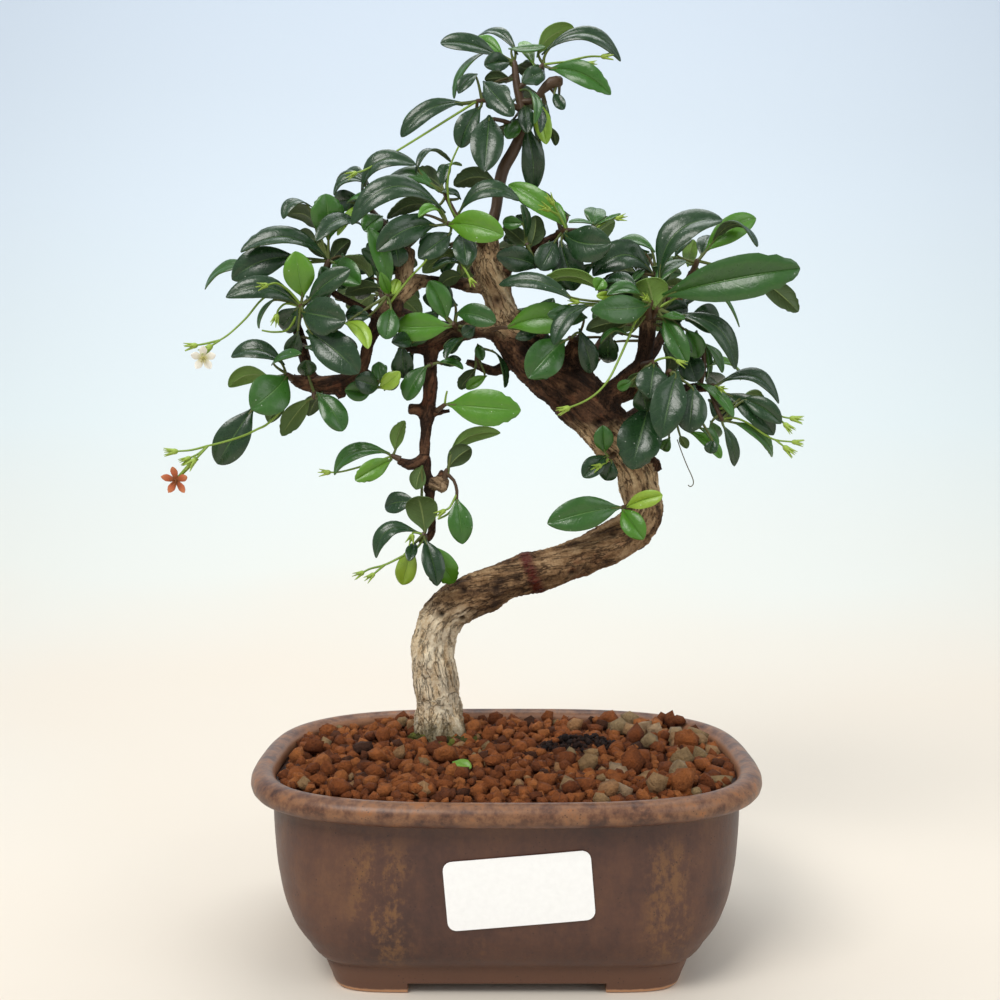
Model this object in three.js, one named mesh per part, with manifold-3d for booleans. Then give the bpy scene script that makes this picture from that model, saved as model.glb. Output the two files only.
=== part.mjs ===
// Fukien tea bonsai in its glazed stoneware pot. Millimetres, +Z up.
// X runs to the right and Y away from the viewer, who stands at the pot's front.
import * as THREE from 'three';
import { mergeVertices } from 'three/addons/utils/BufferGeometryUtils.js';
import Module from 'manifold-3d';

const wasm = await Module();
wasm.setup();

// Driving dimensions
const clearance = 0.3;
const rimHalfWidth = 95;
const rimHalfDepth = 72.3;
const rimRoll = 4.5;
const rimHalfHeight = 3.7;
const rimCentreHeight = 70.6;
const rimUnderside = 65.6;
const rimStartAngle = -1.05;
const rimEndAngle = 4.2;
const rimSteps = 5;
const rimSquareness = 3.05;
const footHeight = 4;
const footBandTop = 9;
const undersideHeight = 6;
const footInnerHalfWidth = 52;
const footCutHalfWidth = 36;
const footCutHalfDepth = 22;
const floorTop = 12;
const floorHalfWidth = 60;
const wallThickness = 7;
const drainRadius = 8;
const drainOffset = 38;
const screenSize = 23;
const screenThickness = 1;
const soilTop = 69.5;
const soilRoughness = 1.6;
const soilEdgeDrop = 1.5;
const labelWidth = 52;
const labelHeight = 25;
const labelTilt = -0.085;
const labelThickness = 0.4;
const bladeThickness = 1;
const bladeFold = 0.16;
const leafSpacing = 3;

// The crown is laid out as the viewer sees it: x and z lie in one upright plane,
// and each point is pushed along the line of sight to its own depth y.
const eye = new THREE.Vector3(-2.5, -482, 201);
const layoutPlane = 30;

function seen(x, z, y) {
  const reach = (y - eye.y) / (layoutPlane - eye.y);
  return new THREE.Vector3(eye.x + (x - eye.x) * reach, y, eye.z + (z - eye.z) * reach);
}

// Limbs of the wood, each a list of [x, z, depth, radius]
const limbs = [
  // trunk
  [[-28.5, 46, 38, 12], [-28.5, 70, 38, 12], [-29, 80, 38, 10.8], [-29.3, 90, 37, 10],
    [-30.3, 100, 36, 10.2], [-31, 107, 35, 10.3], [-30, 115, 34, 9.8], [-28, 122, 32, 9.7],
    [-23.5, 128, 30, 9.6], [-16, 132.2, 29, 9.4], [-8, 135.6, 28, 9.2], [2, 139.6, 27, 9],
    [12, 143.3, 26, 8.5], [24, 147, 26, 8.4], [35, 151, 26, 8.4], [46, 156, 27, 8.6],
    [54, 161.5, 28, 8.8], [58.3, 169, 30, 8.8], [57.5, 177, 31, 8.6], [55.5, 186, 31, 8.8],
    [51.5, 194, 30, 9.6], [45, 202, 29, 10.4], [37.5, 211, 28, 11.4], [28, 221, 28, 12],
    [17, 231, 28, 11.8], [8, 239, 29, 10.6], [1.5, 247, 30, 8.6], [-1.5, 255, 30, 7],
    [-4, 263, 30, 6.8], [-7, 271, 30, 7], [-8, 279, 30, 5.8], [-7.2, 286.5, 30, 4.2]],
  // upper left branch, its stubs and its twigs
  [[-8, 265, 30, 4.4], [-16, 265.5, 28, 3.2], [-24, 266.4, 24, 2.2], [-32, 267, 20, 2.4],
    [-39, 266.6, 16, 4], [-43, 264, 13, 4.8], [-47, 259, 12, 4], [-52, 253, 12, 3],
    [-56, 246, 13, 3], [-58.5, 240, 14, 2.6], [-60.5, 232, 15, 2.6], [-64, 226.5, 16, 3.2],
    [-71, 223.5, 17, 4.4], [-80, 223, 18, 4], [-88, 224.5, 18, 3], [-91, 226, 18, 2]],
  [[-43, 264, 13, 4.4], [-42.5, 272, 12, 4], [-41.5, 281, 12, 3.4]],
  [[-46, 260, 12, 3], [-46, 253, 7, 2.6]],
  [[-54, 251, 12, 2.2], [-60, 255, 13, 1.7], [-66, 258, 14, 1.7], [-74, 262.5, 15, 1.7],
    [-77, 268, 15, 1.5], [-75.5, 273.5, 15, 1.3]],
  [[-82, 224, 18, 3], [-85.5, 235, 16, 2.7], [-88, 245, 13, 2.3], [-92, 254.5, 10, 2]],
  [[-89, 247, 12.5, 1.6], [-87.5, 254.5, 8, 1.5]],
  [[-72, 223.5, 17, 3.4], [-69.5, 218, 15, 2.2]],
  // lower left branch and the limb that hangs from it
  [[-3, 247, 29, 5.4], [-12, 247.5, 27, 4.8], [-20, 245.5, 25, 4.6], [-28, 242, 24, 4.2],
    [-34, 239.5, 24, 3.6], [-40, 239.5, 24, 3], [-44, 240, 23, 2]],
  [[-31, 241, 24, 3.6], [-32, 234, 23, 3.2], [-32, 226, 22, 3], [-32.5, 218, 22, 3.1],
    [-33.5, 211, 22, 3.5], [-34, 204, 22, 2.4], [-34.8, 196, 22, 2.3], [-34, 190, 22, 2.2],
    [-33.3, 185, 22, 2], [-32.5, 180, 22, 2.4], [-32.2, 173, 22, 1.8], [-31.8, 166, 22, 1.8],
    [-31.6, 161, 22, 1.8], [-33.5, 157.5, 21, 1.7], [-37.5, 156.3, 20, 1.3]],
  [[-34, 211, 22, 3], [-38.5, 213, 21, 2.4], [-41.5, 213, 21, 2.5]],
  [[-33, 212, 22, 2.2], [-28, 211.7, 20, 1.4], [-23.5, 212.3, 18, 1]],
  [[-34.5, 192.5, 22, 2.2], [-38, 189.7, 21, 2.6], [-41.5, 189.3, 21, 2.4], [-46, 191.3, 20, 1.8]],
  [[-32.5, 181, 22, 2.4], [-29.5, 181.5, 20, 2.8], [-26.5, 180.8, 19, 3.8], [-24.3, 180, 19, 2.6]],
  [[-28.5, 182, 20, 2.2], [-27, 187, 19, 1.4]],
  // short dead stub below the trunk's bend
  [[6, 237, 31, 4], [-2, 230, 33, 2.6], [-7, 229.5, 33, 2.1], [-12, 231.5, 32, 2], [-17, 233, 31, 1.5]],
  // right branches
  [[22, 229, 28, 7], [28, 236, 23, 4.6], [30.5, 243, 18, 3.6]],
  [[37, 212, 28, 8], [45, 219, 26, 6], [52, 225, 22, 5], [57.5, 231, 18, 3.9], [59.5, 238, 16, 3.7],
    [60, 246, 14, 3.6], [60, 251.5, 12, 3.3]],
  [[46, 219, 26, 4.6], [60, 222, 25, 3.4], [70, 221, 24, 2.8], [79, 222, 22, 2.3], [86, 222, 20, 1.8]],
  [[53, 226, 22, 3.4], [64, 240, 30, 2.6], [70, 252, 34, 2.3], [75, 262, 36, 1.9], [79, 271, 36, 1.6]],
  [[-5, 268, 30, 3], [3, 274, 26, 2.4], [10, 279.5, 22, 1.8], [17, 284, 20, 1.8], [23, 287, 20, 1.5]],
  [[59.5, 192, 28, 2.8], [64.5, 190, 26, 1.8], [65.7, 186.6, 26, 1.3]],
  // branches at the back
  [[4, 240, 34, 4], [2, 250, 48, 3], [-6, 262, 60, 2.4], [-14, 272, 68, 1.8]],
  [[28, 222, 34, 4.6], [38, 236, 48, 3.2], [48, 250, 60, 2.4], [56, 258, 66, 1.8]],
  [[-20, 246, 28, 3], [-34, 250, 42, 2.4], [-48, 256, 52, 1.8]],
  [[44, 204, 34, 4], [56, 212, 46, 2.8], [66, 222, 54, 1.8]],
];

// Leafy stems. A stem is a list of [x, z, depth, radius]. A leaf is
// [base x, base z, tip x, tip z, tip depth from the stem's, width, facing in degrees, age, bow]:
// facing 0 turns the upper side to the viewer, 90 up and 180 away, and age runs from
// 0, old and dark, to 3, just opened. A stalk is [depth at its tip, points, bud]: it starts on
// the stem, or at an earlier stalk's point that it names, and bud is true where a calyx ends it.
const sprays = [
  { name: 'apex_stem',
    stems: [
      [[-6.6, 289.5, 30, 2.8], [-4.2, 297, 30, 2.3], [-3, 306, 30, 2.5], [-1, 314, 30, 2.6],
        [3, 321, 30, 2.5], [6.3, 328.5, 30, 2.2], [7, 335, 30, 2], [6, 342, 30, 1.9],
        [4.5, 349, 30, 1.7], [3.5, 358, 30, 1.2]],
      [[6, 341.5, 30, 1.5], [12, 342.3, 28, 1.5], [15, 346, 27, 1.7], [19, 349.5, 26, 2.6],
        [23, 350, 26, 2.2]],
      [[5, 347, 30, 1.2], [11, 352, 28, 1.1], [15.5, 357, 28, 0.9]],
      [[6.8, 338, 30, 1.3], [-2, 342, 26, 1.1], [-12, 342, 23, 0.9]],
      [[6.5, 329, 30, 1.2], [1, 333, 25, 1], [-5, 334.5, 22, 0.9]]],
    leaves: [
      [-3, 360, -27.5, 366, -4, 9.5, 40, 0, 0.03], [-1, 360, -13.5, 367.5, 8, 6, 30, 2, 0.05],
      [5, 361, -13, 367, 14, 6, 50, 0, 0.14], [1, 363.5, 16.5, 364, -3, 6, 60, 1, -0.12],
      [12, 356, 6.5, 366.3, 8, 6, 20, 2, 0], [13, 360, 28.5, 372, 6, 9, 150, 2, 0.1],
      [15, 361, 49, 359, -2, 9, 48, 0, 0.2], [18, 355, 44, 344.5, -10, 10, 20, 1, 0.08],
      [20, 345, 24.5, 338.5, -4, 5, 0, 0, 0], [19, 331, 21, 323.5, 6, 4, 150, 0, 0],
      [13, 342, 17, 324, -4, 7.5, 10, 3, 0], [11, 342, 14.5, 329, -9, 5, 50, 0, 0],
      [5.5, 346.5, 12.5, 333, -14, 5, 60, 1, 0.05], [8, 333, 11.3, 304.3, 6, 10.5, 20, 0, 0.02],
      [-7, 336, -9, 312.5, -10, 14, 0, 0, 0], [-10, 340, -19, 322.5, -6, 10, 20, 0, 0.05],
      [-17, 341, -44, 327, -4, 8.5, 30, 0, 0.1], [-18, 340, -43.5, 333, 6, 6, 60, 1, 0.06],
      [-9.5, 350, 3, 336, -16, 9.5, 0, 0, 0], [-5.5, 363, -22.5, 343, -8, 7, 70, 1, 0.08],
      [-12, 353, -20, 345, -4, 6, 30, 0, 0.04], [2, 358, -9, 357, -8, 8, 20, 0, 0],
      [2, 351, -9, 351, 4, 6, 150, 0, 0], [16, 354, 7, 350, -9, 8, 10, 0, 0],
      [8, 340, 9, 329, -7, 7, 0, 0, 0], [6, 334, 0.5, 326.5, -9, 7, 20, 1, 0],
      [-4, 308, -22, 307, 8, 9, 165, 0, 0.12], [4, 356, 12, 350, 12, 8, 150, 0, 0.1],
      [2, 340, 14, 338, 14, 9, 130, 0, 0.1], [0, 332, -6, 318, 14, 10, 150, 0, 0.1]],
    stalks: [
      [22, [[15, 357], [25, 358], [33, 357.3]], true], [24, [[25, 358], [34, 360.2], [40, 360.3]], true],
      [10, [[-12, 341.5], [-25, 334], [-38, 326], [-48, 320], [-58, 314], [-63, 312.2]], true]] },

  { name: 'upper_left_stem',
    stems: [
      [[-10, 283, 25, 2.2], [-15, 287, 18, 1.8], [-20, 289.5, 12, 1.5], [-24.5, 291, 8, 1.2]],
      [[-18, 288.5, 15, 1.4], [-22, 296, 16, 1.1], [-26, 304, 16, 0.9]],
      [[-18, 288.5, 15, 1.3], [-19, 281, 12, 1.1], [-18.5, 272, 12, 0.9]]],
    leaves: [
      [-24.5, 290.5, -1, 286, -14, 12.5, 0, 2, 0.06], [-20, 295, 6, 301, -4, 8.5, 35, 0, 0.22],
      [-19, 301, -27, 304, -2, 5, 60, 0, 0.1], [-25.5, 295.5, -66, 291, -10, 11.5, 32, 0, 0.26],
      [-28, 304, -54, 303, 8, 9, 50, 1, 0.22], [-28, 297, -50, 293, 2, 8, 140, 0, 0.12],
      [-29, 290, -54.5, 279.5, -12, 12, 10, 0, 0.1], [-23, 287, -37, 276.5, -6, 10, 10, 0, 0],
      [-19, 287.5, -16.5, 273.5, -10, 10, 10, 0, 0], [-20, 280, -35, 270.5, 6, 8, 165, 1, 0.05],
      [-17, 271.5, -31, 272, 2, 6, 70, 0, 0.16], [-18, 269, -28, 265, 8, 7, 160, 0, 0.1],
      [-27, 294, -37, 294, -8, 5, 60, 2, 0.14], [-38, 311, -23, 317, 12, 6, 75, 0, 0.26],
      [-27, 306, -38, 313, 14, 9, 150, 0, 0], [-27, 306, -25, 316, 16, 6, 20, 0, 0],
      [-25, 308, -18.5, 315, 12, 4, 60, 2, 0.12]],
    stalks: [
      [2, [[-22, 292.5], [-23.5, 298], [-24.6, 306], [-23.4, 315], [-20, 323]]],
      [-2, [[-20.5, 279], [-19, 275], [-16.5, 270.5], [-15, 267.8]], true]] },

  { name: 'left_top_stem',
    stems: [[[-42.2, 279, 14, 1.9], [-48, 286, 15, 1.5], [-54, 293, 16, 1.3], [-58.5, 299, 18, 1.1]]],
    leaves: [
      [-61, 302, -38, 315.5, 4, 10, 45, 0, 0.26], [-58, 307, -73, 303, 0, 7, 60, 0, 0.22],
      [-57, 306, -71, 307, 6, 6, 60, 0, 0.18], [-67, 299.5, -54.5, 301.5, -12, 7, 65, 1, 0.02],
      [-58.5, 300, -71, 286, -6, 6, 55, 3, 0.02], [-61, 302, -72, 300, 8, 9, 0, 0, 0],
      [-52, 294, -60, 288, 2, 9, 20, 1, 0], [-58.5, 288, -80, 283.5, -8, 8.5, 48, 0, 0.16],
      [-55, 294, -50, 280, 4, 9, 10, 1, 0]],
    stalks: [] },

  { name: 'left_front_stem',
    stems: [[[-48.5, 257, 10, 1.6], [-50, 261, 5, 1.1]]],
    leaves: [
      [-50, 262, -58, 289, -8, 8, 10, 1, 0.06], [-52, 264, -68, 261.5, 6, 7, 150, 0, 0.04],
      [-47, 283, -45, 273, 0, 9, 0, 0, 0], [-56, 280, -51, 270, 4, 7, 20, 0, 0],
      [-49.5, 261.5, -53, 270.5, -5, 4.5, 0, 2, 0], [-48, 260.5, -46, 267.8, -6, 4.5, 0, 3, 0],
      [-48.5, 256, -51, 242.5, -6, 9, 0, 1, 0], [-57, 252, -68, 253, 2, 7.5, 10, 0, 0],
      [-69.5, 249, -58.5, 238.5, -4, 7, 30, 3, 0.12]],
    stalks: [[2, [[-54.5, 252], [-49.5, 257.5], [-45, 263], [-40.5, 268.5], [-36, 273], [-33.5, 276]]]] },

  { name: 'left_upper_stem',
    stems: [[[-76.5, 270, 15, 1.8], [-75, 275.5, 13, 1.3]]],
    leaves: [
      [-75, 284, -76, 303.5, -4, 14, 10, 1, 0], [-80, 286, -93, 295, 6, 12, 120, 0, 0.18],
      [-82, 298, -94, 293, 4, 7, 60, 0, 0.24], [-80, 284, -88, 286, 8, 7, 150, 0, 0],
      [-75, 275.5, -112, 279, -8, 12.5, 55, 0, 0.14], [-88, 277, -116, 267.5, -10, 13, 15, 0, 0.08],
      [-105, 273, -127.5, 263.5, 6, 7.5, 58, 1, 0.1], [-73, 275, -61.5, 265.5, -8, 11, 0, 1, 0],
      [-74, 276, -84, 282, 4, 7, 150, 0, 0.05],
      [-74, 275, -66, 284, 10, 8, 150, 0, 0]],
    stalks: [] },

  { name: 'left_middle_stem',
    stems: [[[-87.6, 252.5, 9, 1.8], [-86.8, 257, 4, 1.2]]],
    leaves: [
      [-86, 260, -89, 279.5, -8, 12.5, 0, 2, 0], [-88, 257, -118.5, 260, -8, 10, 25, 0, 0.16],
      [-84, 258, -66, 272, -2, 9, 20, 0, 0.02], [-86.5, 254, -68, 250.5, -14, 15.5, 0, 0, 0],
      [-88, 256, -95, 246.5, 8, 10, 10, 0, 0], [-97, 260, -105, 247, 2, 5, 70, 1, 0.02],
      [-88, 246, -91.5, 235, 8, 7.5, 0, 0, 0], [-84.5, 246, -62.5, 228, -10, 15, 0, 0, 0.04]],
    stalks: [
      [0, [[-88, 256.5], [-93, 257.5], [-96.3, 255], [-97, 252.8]], true],
      [-8, [[-87, 257.5], [-92, 263], [-97, 266], [-101, 265.3]], true],
      [-4, [[-88, 257], [-96, 262], [-103, 259.5], [-110, 251.5], [-117, 245], [-121.5, 242]]],
      [-6, [[-121.5, 242], [-127, 240.7], [-131, 240]], true],
      [-5, [[-121.5, 242], [-124.8, 239.8]], true],
      [4, [[-88, 254], [-92, 247], [-98, 245.5], [-103.5, 246.2]]]] },

  { name: 'left_lower_stem',
    stems: [[[-90.5, 225.8, 17, 1.7], [-93, 227.5, 13, 1.2]]],
    leaves: [
      [-93, 227, -108.5, 213, -12, 17, 0, 1, -0.04], [-100, 226, -118, 222.5, 4, 8.5, 150, 2, 0.12],
      [-107, 214, -123, 189.5, -2, 14, 10, 0, 0], [-94, 222, -101, 207, 6, 8.5, 170, 1, 0],
      [-94, 231.5, -117, 235.3, 0, 9.5, 35, 0, 0.14], [-99.5, 231.5, -87, 236.5, -12, 6, 58, 1, 0]],
    stalks: [
      [2, [[-93, 227], [-95, 214], [-101, 207], [-106, 204.3], [-112, 201.5], [-120, 199],
        [-127, 197.3]]],
      [0, [[-127, 197.3], [-134, 195.5], [-140, 195]], true],
      [0, [[-127, 197.3], [-131, 194], [-134.5, 192.3]], true],
      [-2, [[-127, 197.3], [-130.5, 193.5], [-132.5, 191.5]], true]] },

  { name: 'left_under_stem',
    stems: [[[-81, 221, 15, 1.6], [-81.5, 218, 12, 1.2]]],
    leaves: [
      [-83, 217.5, -95.5, 201.5, 2, 9, 165, 1, 0.02], [-80.5, 220, -69.5, 203.5, -6, 10.5, 10, 1, 0.04],
      [-84, 227, -85, 233.5, -10, 8, 0, 0, 0],
      [-78, 220, -84, 210, 12, 8, 150, 0, 0]],
    stalks: [] },

  { name: 'left_inner_stem',
    stems: [[[-65, 225.5, 15, 1.7], [-60, 222.5, 13, 1.3], [-55.5, 222, 11, 1]]],
    leaves: [
      [-54, 222, -64, 225.5, -8, 9.5, 10, 0, 0], [-53.5, 224.5, -54, 232.8, -5, 6.5, 0, 1, 0],
      [-54, 221.8, -45, 228.8, -3, 7, 10, 3, -0.06], [-57, 220.5, -68.5, 221, 4, 8.5, 0, 1, -0.02]],
    stalks: [] },

  { name: 'left_centre_stem',
    stems: [[[-20, 247, 22, 1.8], [-22.3, 249, 14, 1.2]]],
    leaves: [
      [-23, 248, -47, 247.5, -8, 12, 0, 2, 0], [-25, 250, -32.5, 267, -4, 10, 15, 1, 0.02],
      [-21.5, 253, -4.3, 249.5, -10, 9.5, 0, 1, 0.08], [-13, 248, -18.5, 244, 3, 6, 0, 0, 0],
      [-40, 242, -48.5, 241, 0, 7, 20, 0, 0], [-44, 240.5, -43.5, 226, 4, 9, 0, 0, 0],
      [-16, 243.5, -26, 234.5, 2, 6, 65, 0, 0.02]],
    stalks: [] },

  { name: 'hanging_stem_upper',
    stems: [[[-32.3, 231.5, 20, 1.4], [-31.5, 232, 16, 0.9]]],
    leaves: [
      [-33, 231.5, -42, 216.5, -2, 9, 20, 1, 0.06], [-29, 232.5, -18, 230, -2, 5.5, 62, 1, 0.04]],
    stalks: [] },

  { name: 'hanging_stem_right',
    stems: [[[-29, 212.5, 19, 1.2], [-26, 214.8, 15, 0.9]]],
    leaves: [[-25, 215, 6.3, 212.3, -8, 15.5, 0, 2, 0]],
    stalks: [[13, [[-26, 214.8], [-25.6, 218], [-25, 220.5]]]] },

  { name: 'hanging_stem_left',
    stems: [[[-45, 191.5, 20, 1.5], [-48.3, 193, 20, 1]]],
    leaves: [
      [-49.5, 194, -74, 185, 4, 8.5, 35, 1, 0.16], [-48.5, 191.5, -64.3, 182.5, -6, 8.5, 0, 2, 0.02],
      [-47, 195, -43, 208, 4, 6.5, 160, 2, 0.05]],
    stalks: [[26, [[-48.3, 193], [-60, 189], [-70, 186.3], [-75, 186]], true]] },

  { name: 'hanging_stem_knob',
    stems: [
      [[-26.3, 183, 18, 1.5], [-25.3, 186.8, 17, 1]],
      [[-25.6, 185.6, 17, 0.9], [-22.2, 182.5, 17, 0.7], [-20.9, 178, 17, 0.7], [-21, 174.8, 17, 0.7]]],
    leaves: [
      [-25, 187.5, -14.8, 196.5, -2, 9, 165, 0, 0.04], [-24, 194, -2.3, 202.8, 8, 6.5, 165, 2, 0.12],
      [-21, 175, -18.5, 155.3, -2, 10.5, 5, 1, 0]],
    stalks: [
      [15, [[-21, 174.8], [-22, 171.5], [-25, 168], [-29, 166]]],
      [14, [[-21.6, 178.5], [-22.3, 174], [-24, 171], [-26, 169.8]], true]] },

  { name: 'hanging_stem_middle',
    stems: [[[-33, 174, 20, 1.2], [-36, 173.3, 18, 0.9]]],
    leaves: [[-37.5, 173, -51.5, 171, 6, 9.5, 18, 0, 0.06], [-35.5, 189, -38.3, 178.7, 0, 7.5, 160, 1, 0.02]],
    stalks: [] },

  { name: 'hanging_stem_tip',
    stems: [[[-34.5, 158, 20, 1.4], [-35.3, 159.6, 16, 1.1]]],
    leaves: [
      [-34.5, 160, -37.5, 176, -5, 14, 165, 1, 0], [-37, 160, -55.8, 149.3, -2, 8.5, 35, 0, 0.3],
      [-39, 156, -41.5, 148, -9, 5, 10, 0, 0], [-40, 155.5, -44.3, 138, 4, 9, 0, 3, 0],
      [-35, 157.5, -29.5, 137.2, -5, 9.5, 15, 0, 0.02], [-34, 156, -22, 138.3, 5, 11.5, 0, 2, 0]],
    stalks: [
      [8, [[-34.5, 158.8], [-38, 153.8], [-45, 149.7], [-52, 146.3], [-58, 144.7], [-61, 143.2]], true],
      [8, [[-52, 146.3], [-56.5, 142.5]], true], [12, [[-36, 159.8], [-39.5, 160.2], [-40, 159]], true]] },

  { name: 'bend_stem',
    stems: [[[-11, 231, 31, 1.2], [-12.5, 234, 29, 0.9], [-12, 239, 29, 0.8]]],
    leaves: [
      [-12, 240.5, -10, 233.5, -3, 4.5, 0, 1, 0], [-12.5, 230.5, -20, 221.5, 2, 6.5, 150, 0, -0.04],
      [-8, 227, -17, 221.5, 6, 5, 20, 2, 0], [-6, 238, -0.5, 222, 2, 5, 62, 0, 0.04]],
    stalks: [] },

  { name: 'trunk_front_stem',
    stems: [[[-5.5, 246.3, 22, 1], [-2.5, 247.4, 18, 0.8], [0.5, 247.4, 16, 0.8]]],
    leaves: [[0.5, 247.3, 30, 250.5, -8, 13, 0, 2, 0.08], [14, 246, 4, 243, 3, 5, 0, 0, 0]],
    stalks: [] },

  { name: 'knob_stem',
    stems: [[[30.3, 242, 15, 1.6], [27, 243, 9, 1]]],
    leaves: [[25, 242, 9.5, 226, -6, 15, 0, 1, 0.03], [31, 247, 36.5, 228, 4, 8.5, 20, 0, 0]],
    stalks: [] },

  { name: 'trunk_sprout',
    stems: [[[53.5, 171.3, 23, 1.3], [50, 171, 17, 1]]],
    leaves: [
      [49, 171, 17.8, 164, -4, 14, 0, 1, 0.03], [51, 170.8, 67, 176.2, -8, 7.3, 0, 3, 0.04],
      [49.7, 170.3, 59, 157.3, -8, 9.8, 0, 2, 0]],
    stalks: [] },

  { name: 'trunk_low_stem',
    stems: [[[46, 193.5, 21, 1.4], [44, 192, 16, 1]]],
    leaves: [
      [43, 193, 33, 183.8, -4, 8.5, 10, 0, 0.02], [45.5, 191, 42.5, 182.5, -6, 8, 0, 0, 0],
      [42, 194.5, 41.3, 206, -3, 8.3, 0, 1, 0]],
    stalks: [[11, [[44.5, 191.5], [42.5, 190], [40.5, 189]], true]] },

  { name: 'centre_stem',
    stems: [[[10, 280.3, 21, 1.5], [9, 282.5, 15, 1]]],
    leaves: [
      [14, 272.5, -4, 277.5, -10, 10, 0, 0, 0.06], [10, 281, 12.5, 294.5, 5, 9.5, 160, 0, -0.1],
      [8, 284, 6.8, 299, -2, 5, 50, 0, 0],
      [8, 291, -1.5, 291.5, 4, 5.5, 0, 1, 0],
      [9, 281.5, -1, 290, 3, 7, 160, 0, 0]],
    stalks: [] },

  { name: 'centre_right_stem',
    stems: [[[22, 287.2, 19, 1.4], [25.5, 288.5, 13, 1.1]], [[25, 288.3, 14, 1], [37, 288, 17, 0.9]]],
    leaves: [
      [26, 289, 1, 307.3, -2, 9, 10, 2, 0.04], [26, 289.5, 19.5, 300, 6, 4.5, 10, 2, 0],
      [24.5, 287, 44.3, 283, -14, 15, 0, 0, -0.1], [21, 284, 14.5, 271.5, -4, 10.5, 0, 0, 0],
      [23, 284, 29, 263, -8, 13.5, 0, 0, 0], [36.5, 290, 38, 297.5, 8, 9.5, 0, 1, 0],
      [38, 290.3, 26.5, 291.7, -6, 4.5, 72, 1, -0.03], [38, 290.3, 48.5, 295, -4, 4.5, 72, 1, -0.1],
      [38, 286, 45.5, 292, 5, 9.5, 160, 1, 0]],
    stalks: [
      [7, [[26, 289], [22.5, 294.5], [20, 299]], true], [6, [[22.5, 294.5], [18.5, 296.6]], true],
      [12, [[37, 288], [43, 292.5], [46.5, 293]], true]] },

  { name: 'right_dark_stem',
    stems: [[[70.5, 254, 32, 1.8], [67, 262, 27, 1.5], [63.5, 269, 22, 1.2]]],
    leaves: [
      [62, 270, 37, 269, -4, 14, 25, 0, 0.28], [63, 279, 45, 282, 4, 7.5, 60, 1, 0.1],
      [59, 272, 53, 266.5, -6, 3.4, 20, 1, 0], [62, 268, 52, 258, 8, 9, 140, 0, 0]],
    stalks: [] },

  { name: 'right_front_stem',
    stems: [[[60, 252.6, 9.5, 2.4], [60.3, 256, 2, 1.5], [61.5, 258, 0, 1.1]]],
    leaves: [
      [61, 256.5, 36, 255, -12, 11.5, 10, 1, -0.04], [58, 260, 43, 261, -4, 7.5, 50, 1, 0.14],
      [56, 262, 40, 265, 5, 7.5, 50, 0, 0.14], [46, 261, 38.3, 260.7, -16, 3.6, 0, 3, 0],
      [38, 263, 41, 268, 12, 6.5, 0, 2, 0], [30, 257.5, -3, 265.5, 6, 7.5, 30, 0, 0.1],
      [43, 260, 13, 265, 2, 8, 130, 2, 0.14], [37, 257, 20.5, 240, -6, 8.5, 35, 0, 0.12],
      [52, 250, 34, 246.5, 8, 8.5, 150, 0, 0], [44, 246, 43.5, 233, 10, 8.5, 10, 0, 0],
      [53, 243, 40, 240.5, 4, 4.5, 68, 1, 0.26]],
    stalks: [
      [-12, [[58, 256], [55, 250], [52, 243], [48, 234], [44, 226], [39, 220], [33, 216], [27, 213.6]], true],
      [-4, [[61.5, 258], [60, 259.3]], true],
      [0, [[44, 259.5], [36, 257.5], [31, 258]], true]] },

  { name: 'right_top_stem',
    stems: [[[62, 252.6, 10, 1.8], [64.3, 255.5, 4, 1.2]]],
    leaves: [
      [65, 267, 91.5, 293, -3, 15, 35, 0, 0.2], [62.8, 255, 59.5, 268, -8, 15, 165, 2, 0],
      [62.5, 263, 76, 275.5, -4, 7.5, 48, 1, 0.05], [65.3, 260.5, 124.8, 272.3, -24, 17.5, 0, 1, 0.02],
      [64.8, 253, 100, 248, -5, 5, 72, 1, 0.3], [64.5, 254, 77, 255.5, 4, 7.5, 10, 0, 0],
      [65.5, 252, 76, 251, 0, 5.5, 58, 1, 0], [66.5, 251.5, 77, 232, -8, 8.8, 0, 1, 0.02],
      [70, 252.5, 97.5, 229.8, -2, 9.5, 35, 0, 0.18], [76, 250.5, 90.5, 251, 8, 12.5, 10, 0, 0],
      [76, 247, 81.5, 234.7, 3, 8.5, 10, 1, 0.05]],
    stalks: [[-4, [[66, 255], [74, 261], [81, 263.3], [87, 263]], true]] },

  { name: 'right_far_stem',
    stems: [[[78.7, 270, 36, 1.5], [81, 275.5, 31, 1.2]]],
    leaves: [
      [84, 279, 106, 293.5, 0, 10.8, 0, 2, 0.08], [86, 281, 106.5, 281.5, -5, 9.5, 108, 0, 0.3],
      [82.5, 277, 86, 286, 8, 8, 20, 0, 0], [77, 273, 79.3, 284.3, 0, 7, 160, 2, 0],
      [71.5, 277, 78.5, 284.5, 4, 5.5, 55, 0, 0.04], [104, 270, 124, 254, -4, 9.5, 170, 0, 0.02],
      [90, 262, 75, 257, 0, 7, 50, 0, 0.1]],
    stalks: [] },

  { name: 'right_low_front_stem',
    stems: [[[58.5, 231.5, 14, 1.7], [62.5, 232.8, 3, 1.1]]],
    leaves: [
      [63, 232, 61, 217.5, -6, 13, 0, 0, 0], [57, 223, 60, 212.5, 7, 10, 0, 0, 0],
      [54, 225, 47.5, 221.7, 4, 4.5, 0, 1, 0], [57, 228.5, 53, 222.3, 4, 5.5, 160, 1, 0]],
    stalks: [[-1, [[62.5, 232.8], [66, 234.3], [70, 234.7], [72.5, 233.5]], true]] },

  { name: 'right_low_stem',
    stems: [[[68, 221.8, 21, 1.6], [68, 226, 8, 1.3], [69.5, 229, -2, 1.1]]],
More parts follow.
